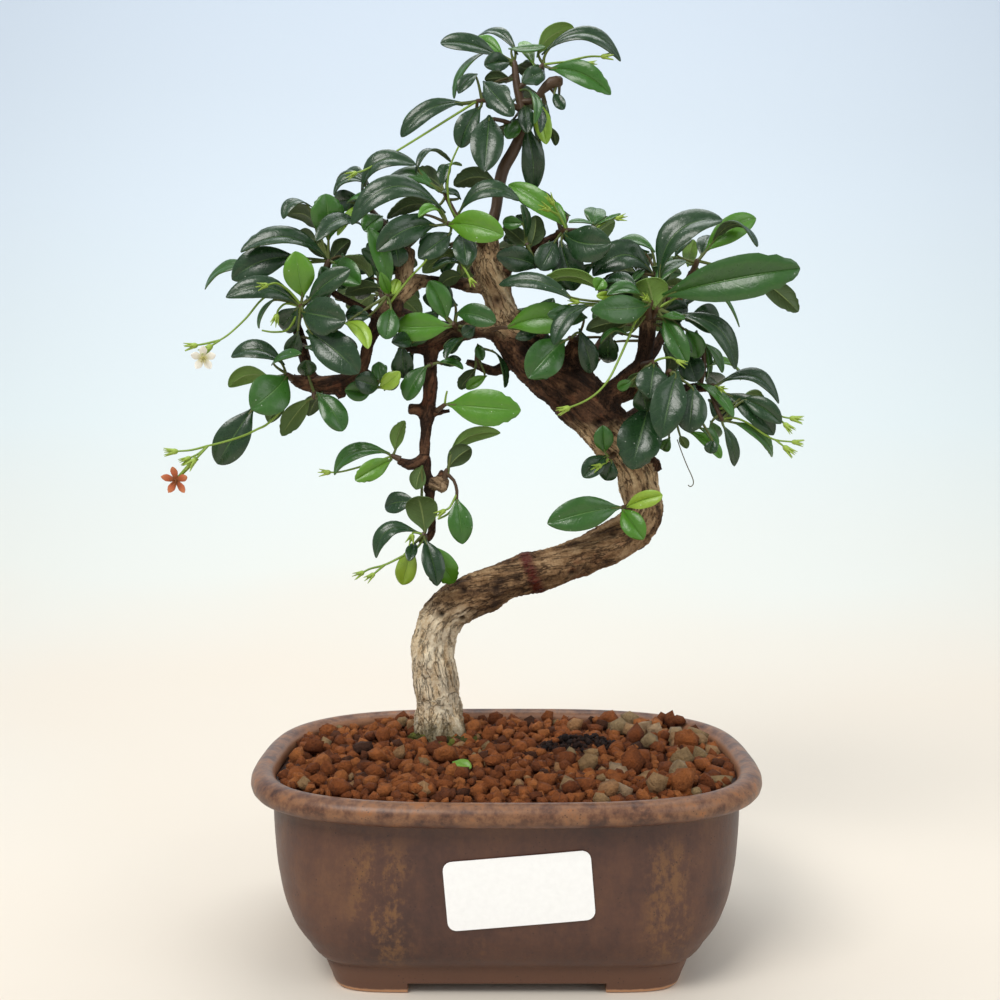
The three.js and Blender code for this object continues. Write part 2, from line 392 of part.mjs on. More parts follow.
    leaves: [
      [73, 229, 66.5, 200.5, -8, 14, 0, 0, 0.02], [61, 215, 53.5, 187.3, -12, 18.5, 0, 0, 0],
      [80, 223, 78, 203, -6, 13, 0, 0, 0], [77, 203.5, 92, 192, -4, 5.8, 30, 2, 0.06],
      [82, 205, 90.5, 197, 2, 5.5, 50, 1, 0.04], [88.5, 200, 87, 194, 8, 5.5, 10, 0, 0],
      [70, 201, 66.7, 195.5, 6, 5.5, 0, 1, 0], [74, 201.5, 77.3, 196.2, 4, 4, 160, 1, 0]],
    stalks: [] },

  { name: 'right_side_stem',
    stems: [
      [[85, 222.2, 20, 1.4], [88.5, 222.8, 17, 1.1]],
      [[82, 222.3, 21, 1.4], [84, 230, 18, 1.1], [83.8, 239, 17, 0.9]],
      [[86.5, 222.4, 18.5, 1.2], [89.5, 214, 14, 1], [92, 208.5, 12, 0.9]]],
    leaves: [
      [90.5, 223.7, 115.7, 215.2, -2, 9, 48, 0, 0.22], [93, 219.5, 114, 201.8, -6, 10, 10, 0, 0.08],
      [100, 217.5, 117.3, 206.7, 2, 8.5, 10, 0, 0.06], [101, 218.3, 110, 216.3, 8, 4.5, 150, 2, 0.1],
      [86, 217, 96.5, 208.5, 0, 9.5, 10, 0, 0], [80.5, 224, 97, 209.5, -10, 6.5, 48, 1, 0.04],
      [90, 218, 96.5, 212, -4, 5.5, 10, 0, 0], [83.5, 241, 92, 228.3, 2, 5.5, 48, 1, 0.05],
      [84, 240.5, 85, 224.5, -2, 4.5, 58, 1, 0.02], [84, 230.5, 100, 225.3, 4, 5.5, 66, 2, 0.12],
      [84, 229, 91, 223, 9, 8.5, 0, 0, 0], [96, 207.5, 114.2, 192.5, 0, 6, 38, 1, 0.06],
      [92, 206.5, 97.3, 188.7, 4, 5.5, 25, 0, 0.06], [87, 208, 90.5, 200.7, 4, 5.5, 0, 1, 0],
      [76, 237, 81, 224.5, 4, 11, 10, 0, 0]],
    stalks: [
      [8, [[91, 213], [100, 214], [107, 213.3], [113, 211.7], [118, 209.6], [121, 209.1]], true],
      [7, [[113, 211.7], [118.5, 206.8]], true],
      [8, [[92, 209], [97, 209.2], [103, 207], [110, 202.2], [115, 199.8], [122, 199]], true],
      [8, [[115, 199.8], [118.5, 197]], true], [11, [[88.5, 222.8], [91, 221.8]], true]] },
];

// Leafy stems at the back, where the photo does not show them: a tuft of leaves
// set round a stem's end by a rule, on the branches that reach back.
const backStems = [
  { name: 'back_left_stem', end: [-48, 256, 52], heart: [-54, 263, 62], count: 8, reach: 24 },
  { name: 'back_centre_stem', end: [-14, 272, 68], heart: [-10, 276, 74], count: 6, reach: 17 },
  { name: 'back_right_stem', end: [56, 258, 66], heart: [60, 262, 74], count: 9, reach: 25 },
  { name: 'back_low_stem', end: [66, 222, 54], heart: [68, 225, 61], count: 7, reach: 21 },
];

// Seeded random numbers, so that every build is the same
function seededRandom(seed) {
  let state = seed >>> 0;
  return () => {
    state = (state + 0x6d2b79f5) >>> 0;
    let mixed = Math.imul(state ^ (state >>> 15), state | 1);
    mixed ^= mixed + Math.imul(mixed ^ (mixed >>> 7), mixed | 61);
    return ((mixed ^ (mixed >>> 14)) >>> 0) / 4294967296;
  };
}

// Closed solid from rings of points; a ring of one point is a tip, and a ring can double its corners
function loft(rings) {
  const positions = [];
  const triangles = [];
  const starts = rings.map((ring) => {
    const start = positions.length / 3;
    ring.forEach((point) => positions.push(point.x, point.y, point.z));
    return start;
  });
  for (let i = 0; i + 1 < rings.length; i += 1) {
    const count = Math.max(rings[i].length, rings[i + 1].length);
    const doubled = rings[i].length > 1 && rings[i + 1].length === rings[i].length * 2;
    for (let k = 0; doubled && k < rings[i].length; k += 1) {
      const here = starts[i] + k;
      const next = starts[i] + ((k + 1) % rings[i].length);
      const [first, middle, far] = [2 * k, 2 * k + 1, (2 * k + 2) % count].map((n) => starts[i + 1] + n);
      triangles.push([here, middle, first], [here, next, middle], [next, far, middle]);
    }
    for (let k = 0; !doubled && k < count; k += 1) {
      const next = (k + 1) % count;
      const low = rings[i].length === 1 ? [starts[i], starts[i]] : [starts[i] + k, starts[i] + next];
      const high = rings[i + 1].length === 1
        ? [starts[i + 1], starts[i + 1]] : [starts[i + 1] + k, starts[i + 1] + next];
      if (low[0] !== low[1]) triangles.push([low[0], low[1], high[1]]);
      if (high[0] !== high[1]) triangles.push([low[0], high[1], high[0]]);
    }
  }
  const last = rings.length - 1;
  for (let k = 1; k + 1 < rings[0].length; k += 1) {
    triangles.push([starts[0], starts[0] + k + 1, starts[0] + k]);
  }
  for (let k = 1; k + 1 < rings[last].length; k += 1) {
    triangles.push([starts[last], starts[last] + k, starts[last] + k + 1]);
  }
  return solidFrom(positions, triangles);
}

// Solid from points and triangles, turned right side out
function solidFrom(positions, triangles) {
  const corner = (index) => new THREE.Vector3().fromArray(positions, index * 3);
  const volume = triangles.reduce((sum, [a, b, c]) => sum + corner(a).dot(corner(b).cross(corner(c))), 0);
  const ordered = volume < 0 ? triangles.map(([a, b, c]) => [a, c, b]) : triangles;
  return new wasm.Manifold(new wasm.Mesh({
    numProp: 3,
    vertProperties: new Float32Array(positions),
    triVerts: new Uint32Array(ordered.flat()),
  }));
}

// Solid from a closed geometry, its corners made one where they meet
function solidFromGeometry(geometry) {
  geometry.deleteAttribute('normal');
  geometry.deleteAttribute('uv');
  const merged = mergeVertices(geometry, 1e-3);
  const index = Array.from(merged.index.array);
  const triangles = [];
  for (let i = 0; i < index.length; i += 3) triangles.push(index.slice(i, i + 3));
  return solidFrom(Array.from(merged.attributes.position.array), triangles);
}

function geometryFrom(solid) {
  const { vertProperties, triVerts } = solid.getMesh();
  const geometry = new THREE.BufferGeometry();
  geometry.setAttribute('position', new THREE.BufferAttribute(vertProperties, 3));
  geometry.setIndex(new THREE.BufferAttribute(triVerts, 1));
  return geometry;
}

function meshFrom(name, solid, material) {
  const geometry = geometryFrom(solid);
  geometry.computeVertexNormals();
  const mesh = new THREE.Mesh(geometry, material);
  mesh.name = name;
  return mesh;
}

// The largest body of a solid, without loose scraps and sealed hollows
function mainBody(solid) {
  return solid.decompose().reduce((best, body) => (body.volume() > best.volume() ? body : best));
}

// True where each edge joins just two faces once corners that meet are made one.
// Two grids half a step apart find the corners that meet.
function hasSimpleSkin(solid) {
  const grid = 1e-3;
  return [0, grid / 2].every((offset) => {
    const geometry = geometryFrom(solid).toNonIndexed().translate(offset, offset, offset);
    const index = mergeVertices(geometry, grid).index.array;
    const uses = new Map();
    for (let i = 0; i < index.length; i += 3) {
      [0, 1, 2].forEach((k) => {
        const ends = [index[i + k], index[i + ((k + 1) % 3)]].sort((a, b) => a - b).join();
        uses.set(ends, (uses.get(ends) ?? 0) + 1);
      });
    }
    return [...uses.values()].every((count) => count === 2);
  });
}

// The main body with its needless corners left out, as far as its skin stays simple
function tidyBody(solid) {
  const body = mainBody(solid);
  const versions = [0.05, 0.04, 0.06, 0.03, 0.08, 0.02, 0.1, 0.01].map((tolerance) => {
    const joined = mainBody(solidFromGeometry(geometryFrom(body.simplify(tolerance))));
    return mainBody(joined.simplify(tolerance * 2));
  });
  const simple = versions.filter(hasSimpleSkin);
  return simple[0] ?? body;
}

// A solid with the clearance added round it, from copies moved each way
function swollen(solid) {
  const reach = clearance + 0.1;
  const moves = [[reach, 0, 0], [-reach, 0, 0], [0, reach, 0], [0, -reach, 0], [0, 0, reach], [0, 0, -reach]];
  return wasm.Manifold.union(moves.map((move) => solid.translate(move)));
}

// Tube with its own radius at each point; the rings turn as little as they can.
// An ending adds rings past the last point, each a list of corners [distance, radius].
function tube(course, radii, sides, growth = 0, ending = []) {
  const rings = [];
  let across = null;
  const points = course.map((point) => point.clone());
  const [start, second] = course;
  const [beforeEnd, end] = course.slice(-2);
  points[0].add(start.clone().sub(second).setLength(growth));
  points[points.length - 1].add(end.clone().sub(beforeEnd).setLength(growth));
  points.forEach((point, i) => {
    const ahead = points[Math.min(i + 1, points.length - 1)];
    const behind = points[Math.max(i - 1, 0)];
    const along = ahead.clone().sub(behind).normalize();
    if (!across) {
      across = new THREE.Vector3(0, 1, 0);
      if (Math.abs(along.y) > 0.9) across.set(1, 0, 0);
    }
    across = across.clone().addScaledVector(along, -across.dot(along)).normalize();
    const up = along.clone().cross(across);
    rings.push(Array.from({ length: sides }, (_, k) => {
      const turn = (k / sides) * Math.PI * 2;
      return point.clone()
        .addScaledVector(across, Math.cos(turn) * (radii[i] + growth))
        .addScaledVector(up, Math.sin(turn) * (radii[i] + growth));
    }));
    if (i === points.length - 1) {
      ending.forEach((corners) => {
        rings.push(corners.map(([distance, radius], k) => {
          const turn = (k / corners.length) * Math.PI * 2;
          return point.clone().addScaledVector(along, distance)
            .addScaledVector(across, Math.cos(turn) * radius)
            .addScaledVector(up, Math.sin(turn) * radius);
        }));
      });
    }
  });
  return loft(rings);
}

// Points and radii along a smooth curve through a limb's points
function limbCourse(limb, step) {
  const curve = new THREE.CatmullRomCurve3(limb.map(([x, z, y]) => seen(x, z, y)), false, 'centripetal');
  const pieces = Math.max(1, Math.round(curve.getLength() / step));
  const points = [];
  const radii = [];
  const last = limb.length - 1;
  for (let i = 0; i <= pieces; i += 1) {
    const place = (i / pieces) * last;
    const before = Math.min(Math.floor(place), last - 1);
    points.push(curve.getPoint(i / pieces));
    radii.push(THREE.MathUtils.lerp(limb[before][3], limb[before + 1][3], place - before));
  }
  return { points, radii };
}

function makeWood(growth) {
  const random = seededRandom(7);
  const parts = limbs.map((limb, index) => {
    const { points, radii } = limbCourse(limb, index === 0 ? 8 : 10);
    const knobby = radii.map((radius) => radius * (1 + (random() - 0.5) * 0.14));
    const sides = index === 0 ? 10 : THREE.MathUtils.clamp(Math.round(radii[0] * 1.3), 5, 6);
    return tube(points, knobby, sides, growth);
  });
  return mainBody(wasm.Manifold.union(parts).simplify(0.1));
}

function bonesOf(courses) {
  const bones = [];
  courses.forEach((course) => {
    for (let i = 0; i + 1 < course.length; i += 1) {
      const from = seen(course[i][0], course[i][1], course[i][2]);
      const to = seen(course[i + 1][0], course[i + 1][1], course[i + 1][2]);
      const radius = Math.max(course[i][3], course[i + 1][3]);
      const middle = from.clone().lerp(to, 0.5);
      bones.push({ from, to, radius, middle, half: from.distanceTo(to) / 2 + radius });
    }
  });
  return bones;
}

function boneDistance(point, { from, to, radius }) {
  const span = to.clone().sub(from);
  const t = THREE.MathUtils.clamp(point.clone().sub(from).dot(span) / span.lengthSq(), 0, 1);
  return point.distanceTo(from.clone().addScaledVector(span, t)) - radius;
}

// Places along a node's stems that stand clear of the wood, where leaves can spring.
// Leaves rather spring near a stem's end, and where few have sprung already.
function freePlaces(stems, woodBones) {
  const places = [];
  stems.forEach((stem) => {
    for (let i = 0; i + 1 < stem.length; i += 1) {
      for (let k = 0; k <= 5; k += 1) {
        const between = stem[i].map((value, c) => THREE.MathUtils.lerp(value, stem[i + 1][c], k / 5));
        const [x, z, y, radius] = between;
        const point = seen(x, z, y);
        const gap = Math.min(...woodBones.map((bone) => boneDistance(point, bone)));
        const progress = (i + k / 5) / (stem.length - 1);
        places.push({ x, z, y, radius, point, gap, taken: (1 - progress) * 6 });
      }
    }
  });
  const free = places.filter((place) => place.gap > 0.9);
  return free.length > 0 ? free : [places.reduce((best, place) => (place.gap > best.gap ? place : best))];
}

// Where a leaf lies: its foot on the stem, its base, its tip and the way its upper side faces
function leafFrame(places, leaf, shift) {
  const [baseX, baseZ, tipX, tipZ, tipDepth, width, facing, , bow] = leaf;
  const away = (place) => Math.hypot(place.x - baseX, place.z - baseZ) + place.taken;
  const root = places.reduce((best, place) => (away(place) < away(best) ? place : best));
  const base = seen(baseX, baseZ, root.y);
  const tip = seen(tipX, tipZ, root.y + tipDepth + shift);
  const along = tip.clone().sub(base);
  const length = along.length();
  along.normalize();
  const toViewer = eye.clone().sub(base.clone().lerp(tip, 0.5)).normalize();
  toViewer.addScaledVector(along, -toViewer.dot(along)).normalize();
  const sideways = along.clone().cross(toViewer);
  if (sideways.z < -0.001 || (Math.abs(sideways.z) <= 0.001 && sideways.x < 0)) sideways.negate();
  const angle = THREE.MathUtils.degToRad(facing);
  const normal = toViewer.clone().multiplyScalar(Math.cos(angle))
    .addScaledVector(sideways, Math.sin(angle));
  const across = along.clone().cross(normal).normalize();
  const bulge = normal.clone().multiplyScalar(0.1 * length).addScaledVector(sideways, bow * length);
  const outward = base.clone().lerp(tip, 0.3).sub(root.point).setLength(root.radius * 0.5);
  const foot = root.point.clone().add(outward);
  return { root, foot, base, tip, length, normal, across, bulge, width };
}

function leafCentre(frame, t) {
  return frame.base.clone().lerp(frame.tip, t).addScaledVector(frame.bulge, 4 * t * (1 - t));
}

// A blade's width along its length, as a share of the widest place
const bladeOutline = [[0, 0.05], [0.12, 0.16], [0.3, 0.6], [0.5, 0.9], [0.65, 1], [0.8, 0.92],
  [0.92, 0.62], [1, 0.02]];

function bladeWidth(t) {
  const after = Math.max(1, bladeOutline.findIndex(([place]) => place >= t));
  const [t0, w0] = bladeOutline[after - 1];
  const [t1, w1] = bladeOutline[after];
  return w0 + ((w1 - w0) * (t - t0)) / (t1 - t0);
}

// Points of a blade that stand for it while the leaves are spaced
function leafSamples(frame) {
  const samples = [];
  for (let i = 0; i < 7; i += 1) {
    const t = 0.34 + i * 0.107;
    const half = 0.5 * frame.width * bladeWidth(t);
    [-0.8, 0, 0.8].forEach((s) => {
      samples.push(leafCentre(frame, t).addScaledVector(frame.across, s * half));
    });
  }
  return samples;
}

// How near a leaf comes to the wood and to the leaves already placed
function closestApproach(samples, sphere, placed, bones) {
  let nearest = Infinity;
  placed.forEach((other) => {
    const reach = other.sphere.radius + sphere.radius + leafSpacing;
    if (other.sphere.center.distanceTo(sphere.center) < reach) {
      samples.forEach((point) => {
        other.samples.forEach((rival) => {
          nearest = Math.min(nearest, point.distanceTo(rival));
        });
      });
    }
  });
  bones.forEach((bone) => {
    if (bone.middle.distanceTo(sphere.center) < bone.half + sphere.radius + leafSpacing) {
      samples.forEach((point) => {
        nearest = Math.min(nearest, boneDistance(point, bone) + leafSpacing * 0.6);
      });
    }
  });
  return nearest;
}

// Each tuft at the back becomes a spray of its own, its leaves turned round its heart
function backSprays() {
  const random = seededRandom(23);
  return backStems.map(({ name, end, heart, count, reach }) => {
    const leaves = [];
    for (let k = 0; k < count; k += 1) {
      const turn = (k / count) * Math.PI * 2 + (random() - 0.5) * 0.5;
      const spread = reach * (0.72 + random() * 0.28);
      const depth = (random() - 0.25) * 26;
      leaves.push([
        heart[0] + Math.cos(turn) * 2.5, heart[1] + Math.sin(turn) * 2.5,
        heart[0] + Math.cos(turn) * spread, heart[1] + Math.sin(turn) * spread * 0.85,
        depth, 9 + random() * 4, Math.sin(turn) > -0.2 ? 120 : 170, Math.floor(random() * 2), 0.1]);
    }
    const stems = [[[end[0], end[1], end[2] - 1, 1.7], [heart[0], heart[1], heart[2], 1.1]]];
    return { name, stems, leaves, stalks: [] };
  });
}

// Leaves are placed one after another; one that comes too near a neighbour moves its tip in depth
const tipShifts = [0, -4, 4, -8, 8, -12, 12];

function placeLeaves(allSprays) {
  const placed = [];
  const woodBones = bonesOf(limbs);
  const stemBones = bonesOf(allSprays.flatMap((spray) => spray.stems));
  const bones = [...woodBones, ...stemBones.filter((bone) => bone.radius >= 1.5)];
  return allSprays.map((spray) => {
    const places = freePlaces(spray.stems, woodBones);
    const courses = stalkCourses(spray, places);
    const frames = spray.leaves.map((leaf) => {
      let best = null;
      for (let i = 0; i < tipShifts.length; i += 1) {
        const frame = leafFrame(places, leaf, tipShifts[i]);
        const samples = leafSamples(frame);
        const sphere = new THREE.Sphere().setFromPoints(samples);
        const nearest = closestApproach(samples, sphere, placed, bones);
        if (!best || nearest > best.nearest + 0.01) best = { frame, samples, sphere, nearest };
        if (nearest >= leafSpacing) break;
      }
      placed.push(best);
      const { root } = best.frame;
      places.filter((place) => place.point.distanceTo(root.point) < 1.4).forEach((place) => {
        place.taken += 0.8;
      });
      return best.frame;
    });
    return { frames, courses };
  });
}

// A leaf: three-cornered sections from its foot on the stem to a pointed tip, keeled along the midrib
function makeLeaf(frame) {
  const neck = bladeThickness / 2;
  const section = (centre, along, half, fold) => {
    const side = frame.across.clone().addScaledVector(along, -frame.across.dot(along));
    if (side.length() < 0.2) side.copy(frame.normal).addScaledVector(along, -frame.normal.dot(along));
    side.normalize();
    const up = along.clone().cross(side);
    if (up.dot(frame.normal) < 0) up.negate();
    const lift = up.clone().multiplyScalar(fold * half + neck);
    return [
      centre.clone().addScaledVector(side, half).add(lift),
      centre.clone().addScaledVector(side, -half).add(lift),
      centre.clone().addScaledVector(up, -neck)];
  };
  const sections = frame.length > 23 ? [0.3, 0.6, 0.87] : [0.38, 0.8];
  const entry = leafCentre(frame, 0.3).sub(frame.foot).normalize();
  const onward = leafCentre(frame, 0.3).sub(frame.base).normalize();
  const reach = frame.base.clone().sub(frame.foot);
  const bend = reach.clone().normalize().dot(onward);
  const hasPetiole = reach.length() > 3;
  const rings = [];
  if (!hasPetiole || bend > 0.75) rings.push(section(frame.foot, entry, neck, 0));
  if (hasPetiole) rings.push(section(frame.base, onward, neck, 0));
  sections.forEach((t) => {
    const along = leafCentre(frame, t + 0.02).sub(leafCentre(frame, t - 0.02)).normalize();
    rings.push(section(leafCentre(frame, t), along, 0.5 * frame.width * bladeWidth(t), bladeFold));
  });
  rings.push([frame.tip]);
  if (!hasPetiole || bend > 0.75) return loft(rings);
  const petiole = tube([frame.foot, frame.base.clone().addScaledVector(onward, 0.6)], [0.6, 0.6], 3);
  return loft(rings).add(petiole);
}

// Rings of the calyx at a stalk's end, which opens into narrow sepals
const calyx = [
  [[2, 1.5], [2, 1.5], [2, 1.5]],
  [[8, 3.3], [4, 1.4], [8, 3.3], [4, 1.4], [8, 3.3], [4, 1.4]],
  [[3.2, 0]]];

// Courses of a node's stalks, from the stem or from a point of an earlier stalk
function stalkCourses(spray, places) {
  const joints = new Map();
  return spray.stalks.map(([tipDepth, points, bud]) => {
    const [startX, startZ] = points[0];
    const away = (place) => Math.hypot(place.x - startX, place.z - startZ);
    const nearest = places.reduce((best, place) => (away(place) < away(best) ? place : best));
    const root = joints.get(points[0].join()) ?? nearest;
    const last = points.length - 1;
    const course = points.map(([x, z], i) => {
      const joint = i === 0 ? root : { x, z, y: THREE.MathUtils.lerp(root.y, tipDepth, i / last) };
      joints.set([x, z].join(), joint);
      return seen(joint.x, joint.z, joint.y);
    });
    return { course, bud };
  });
}

// Directions across a line
function crossDirections(along) {
  const across = new THREE.Vector3(0, 1, 0).addScaledVector(along, -along.y).normalize();
  return [across, along.clone().cross(across)];
}

// A star: a ring of points at two radii and heights in turn, closed by a point at each side
function star(root, along, { outer, inner, points, back, front }) {
  const [across, up] = crossDirections(along);
  const corner = (k, [radius, height]) => {
    const angle = (k / (points * 2)) * Math.PI * 2;
    return root.clone().addScaledVector(along, height)
      .addScaledVector(across, Math.cos(angle) * radius)
      .addScaledVector(up, Math.sin(angle) * radius);
  };
  const ring = Array.from({ length: points * 2 }, (_, k) => corner(k, k % 2 === 0 ? outer : inner));
  const rings = [[root.clone().addScaledVector(along, back)], ring];
  rings.push([root.clone().addScaledVector(along, front)]);
  return loft(rings);
}

// An open flower: five petals in a flat star
function makeFlower(x, z, depth, petalLength, tilt) {
  const facing = new THREE.Vector3(tilt, -0.85, -0.25).normalize();
  const inner = [petalLength * 0.42, 0.4];
  const shape = { outer: [petalLength, 0.9], inner, points: 5, back: -0.9, front: 1 };
  return star(seen(x, z, depth), facing, shape);
}

function makeSpray(spray, { frames, courses }) {
  const stems = spray.stems.map((stem) => {
    const points = stem.map(([x, z, y]) => seen(x, z, y));
    const [before, last] = points.slice(-2);
    last.add(last.clone().sub(before).setLength(0.8));
    return tube(points, stem.map(([, , , radius]) => radius), 5);
  });
  const leaves = frames.map(makeLeaf);
  const stalks = courses.map(({ course, bud }) => {
    return tube(course, course.map(() => 0.62), 3, 0, bud ? calyx : []);
  });
  return wasm.Manifold.union([...stems, ...leaves, ...stalks]);
}

// Pot: a rounded oblong bowl with a rolled rim and four corner feet
function squircle(halfWidth, halfDepth, squareness, turn) {
  const c = Math.cos(turn);
  const s = Math.sin(turn);
  return new THREE.Vector2(
    Math.sign(c) * halfWidth * Math.abs(c) ** (2 / squareness),
    Math.sign(s) * halfDepth * Math.abs(s) ** (2 / squareness),
  );
}

// Rows of the outer wall as [height, value]: its half-width, its half-depth for each unit of
// half-width, and how square its section is. The foot is deeper and squarer than the rim.
const wallProfile = [[0, 65], [footHeight, 66.2], [footBandTop, 68.4], [footBandTop + 1, 69.3],
  [16, 75.9], [25, 83.3], [37, 87.8], [50, 89.9], [62, 91.1], [rimUnderside, 91.6]];
const wallDepths = [[footHeight, 0.885], [16, 0.86], [25, 0.82], [37, 0.785],
  [62, rimHalfDepth / rimHalfWidth]];
const wallCorners = [[0, 9], [footBandTop, 8], [16, 5.5], [25, 4.4], [37, 3.8], [62, 3.2],
  [rimCentreHeight, rimSquareness]];

// The value at a height, read from rows and held past their ends
function atHeight(rows, height) {
  const after = rows.findIndex(([place]) => place >= height);
  if (after === 0) return rows[0][1];
  if (after < 0) return rows[rows.length - 1][1];
  const [[z0, v0], [z1, v1]] = [rows[after - 1], rows[after]];
  return THREE.MathUtils.lerp(v0, v1, (height - z0) / (z1 - z0));
}

function wallHalfWidth(height) {
  return atHeight(wallProfile, height);
}

const potSegments = 32;

// The same inset on the width and the depth keeps the wall's thickness even
function potRing(halfWidth, inset, height) {
  return Array.from({ length: potSegments }, (_, k) => {
    const turn = ((k + 0.5) / potSegments) * Math.PI * 2;
    const halfDepth = halfWidth * atHeight(wallDepths, height);
    const flat = squircle(halfWidth - inset, halfDepth - inset, atHeight(wallCorners, height), turn);
    return new THREE.Vector3(flat.x, flat.y, height);
  });
}

function makePot() {
  const outer = wallProfile.filter(([height]) => height >= footHeight)
    .map(([height, half]) => potRing(half, 0, height));
  const roll = [];
  for (let i = 0; i <= rimSteps; i += 1) {
    const angle = THREE.MathUtils.lerp(rimStartAngle, rimEndAngle, i / rimSteps);
    const height = rimCentreHeight + Math.sin(angle) * rimHalfHeight;
    roll.push(potRing(rimHalfWidth, -Math.cos(angle) * rimRoll, height));
  }
  const inner = [62, 37, 20].map((height) => potRing(wallHalfWidth(height), wallThickness, height));
  const floor = [potRing(floorHalfWidth, 0, floorTop), [new THREE.Vector3(0, 0, floorTop)]];
  const middle = [new THREE.Vector3(0, 0, undersideHeight)];
  const underside = [potRing(footInnerHalfWidth, 0, undersideHeight), potRing(56, 0, footHeight)];
  let pot = loft([middle, ...underside, ...outer, ...roll, ...inner, ...floor]);
  const footOuter = [0, footHeight, footBandTop].map((height) => potRing(wallHalfWidth(height), 0, height));
  const footInner = [-1, footBandTop + 2].map((height) => potRing(footInnerHalfWidth, 0, height));
  const cutLength = 400;
  const crossCut = new THREE.BoxGeometry(footCutHalfWidth * 2, cutLength, footHeight * 2);
  const lengthCut = new THREE.BoxGeometry(cutLength, footCutHalfDepth * 2, footHeight * 2);
  const feet = loft(footOuter).subtract(loft(footInner))
    .subtract(solidFromGeometry(crossCut)).subtract(solidFromGeometry(lengthCut));
  pot = pot.add(feet);
  [-drainOffset, drainOffset].forEach((x) => {
    const drill = new THREE.CylinderGeometry(drainRadius, drainRadius, 30, 20);
    pot = pot.subtract(solidFromGeometry(drill.rotateX(Math.PI / 2).translate(x, 0, floorTop - 4)));
  });
  return pot;
}

function makeScreen(x) {
  const height = floorTop + clearance + screenThickness / 2;
  const sheet = new THREE.BoxGeometry(screenSize, screenSize, screenThickness).translate(x, 0, height);
  let screen = solidFromGeometry(sheet);
  const pitch = screenSize / 4;
  [-1, 0, 1].forEach((i) => {
    const opening = new THREE.BoxGeometry(pitch * 0.64, pitch * 2.64, screenThickness * 3)
      .translate(x + i * pitch, 0, height);
    screen = screen.subtract(solidFromGeometry(opening));
  });
  return screen;
}

// Soil: a body that fills the bowl, its top a sheet of lumps the size of the grains
function makeSoil(woodWithClearance) {
  const random = seededRandom(11);
  const shares = [1, 0.9, 0.77, 0.62, 0.47, 0.32, 0.16];
  const gap = clearance + 0.35;
  const rings = [potRing(floorHalfWidth, gap, floorTop + clearance)];
  [20, 37, 60].forEach((height) => {
    rings.push(potRing(wallHalfWidth(height), wallThickness + gap, height));
  });
  shares.forEach((share) => {
    rings.push(potRing(wallHalfWidth(62), wallThickness + 1.2, soilTop).map((point) => {
      const rise = share === 1 ? -soilEdgeDrop : (random() - 0.35) * 2 * soilRoughness;
      const sway = share === 1 ? 0 : (random() - 0.5) * 2;
      return new THREE.Vector3(point.x * share + sway, point.y * share + sway * 0.7, soilTop + rise);
    }));
  });
  rings.push([new THREE.Vector3(0, 0, soilTop)]);
  let soil = loft(rings).subtract(woodWithClearance);
  [-drainOffset, drainOffset].forEach((x) => {
    const pocket = screenSize + 2 * clearance;
    const recess = new THREE.BoxGeometry(pocket, pocket, 2 * (screenThickness + clearance))
      .translate(x, 0, floorTop + clearance);
    soil = soil.subtract(solidFromGeometry(recess));
  });
  return mainBody(soil);
}

// A blank paper label that follows the front wall
function makeLabel() {
  const wallFront = (x, height) => {
    const half = wallHalfWidth(height);
    const squareness = atHeight(wallCorners, height);
    const share = 1 - Math.abs(x / half) ** squareness;
    return -half * atHeight(wallDepths, height) * share ** (1 / squareness);
  };
  const columns = 6;
  const rows = 5;
  const centreX = 4.2;
  const centreHeight = 42.3;
  const positions = [];
  const triangles = [];
  [clearance, clearance + labelThickness].forEach((lift) => {
    for (let j = 0; j <= rows; j += 1) {
      for (let i = 0; i <= columns; i += 1) {
        const u = (i / columns - 0.5) * labelWidth;
        const v = (j / rows - 0.5) * labelHeight;
        const x = centreX + u * Math.cos(labelTilt) + v * Math.sin(labelTilt);
        const height = centreHeight - u * Math.sin(labelTilt) + v * Math.cos(labelTilt);
        const slope = (wallFront(x, height + 1) - wallFront(x, height - 1)) / 2;
        const scale = lift / Math.hypot(1, slope);
        positions.push(x, wallFront(x, height) - 0.35 - scale, height - slope * scale);
      }
    }
  });
  const wide = columns + 1;
  const layer = wide * (rows + 1);
  for (let j = 0; j < rows; j += 1) {
    for (let i = 0; i < columns; i += 1) {
      const a = j * wide + i;
      const b = layer + a;
      triangles.push([a, a + 1, a + wide + 1], [a, a + wide + 1, a + wide]);
      triangles.push([b, b + wide + 1, b + 1], [b, b + wide, b + wide + 1]);
    }
  }
  const border = [];
  for (let i = 0; i < columns; i += 1) border.push(i);
  for (let j = 0; j < rows; j += 1) border.push(j * wide + columns);
  for (let i = columns; i > 0; i -= 1) border.push(rows * wide + i);
  for (let j = rows; j > 0; j -= 1) border.push(j * wide);
  border.forEach((a, k) => {
    const b = border[(k + 1) % border.length];
    triangles.push([a, layer + b, b], [a, layer + a, layer + b]);
  });
  return solidFrom(positions, triangles);
}

// Materials
const finish = (color, roughness) => new THREE.MeshStandardMaterial({ color, roughness, metalness: 0 });
const glaze = finish(0x5a4034, 0.35);
const soilMaterial = finish(0x6b3a22, 0.95);
const bark = finish(0x8a6a4c, 0.85);
const leafGreen = finish(0x2f4a26, 0.35);
const paper = finish(0xf2f2f0, 0.6);
const meshPlastic = finish(0x30343a, 0.6);
const fadedPetal = finish(0xb5714d, 0.7);
const palePetal = finish(0xe9e2d4, 0.7);

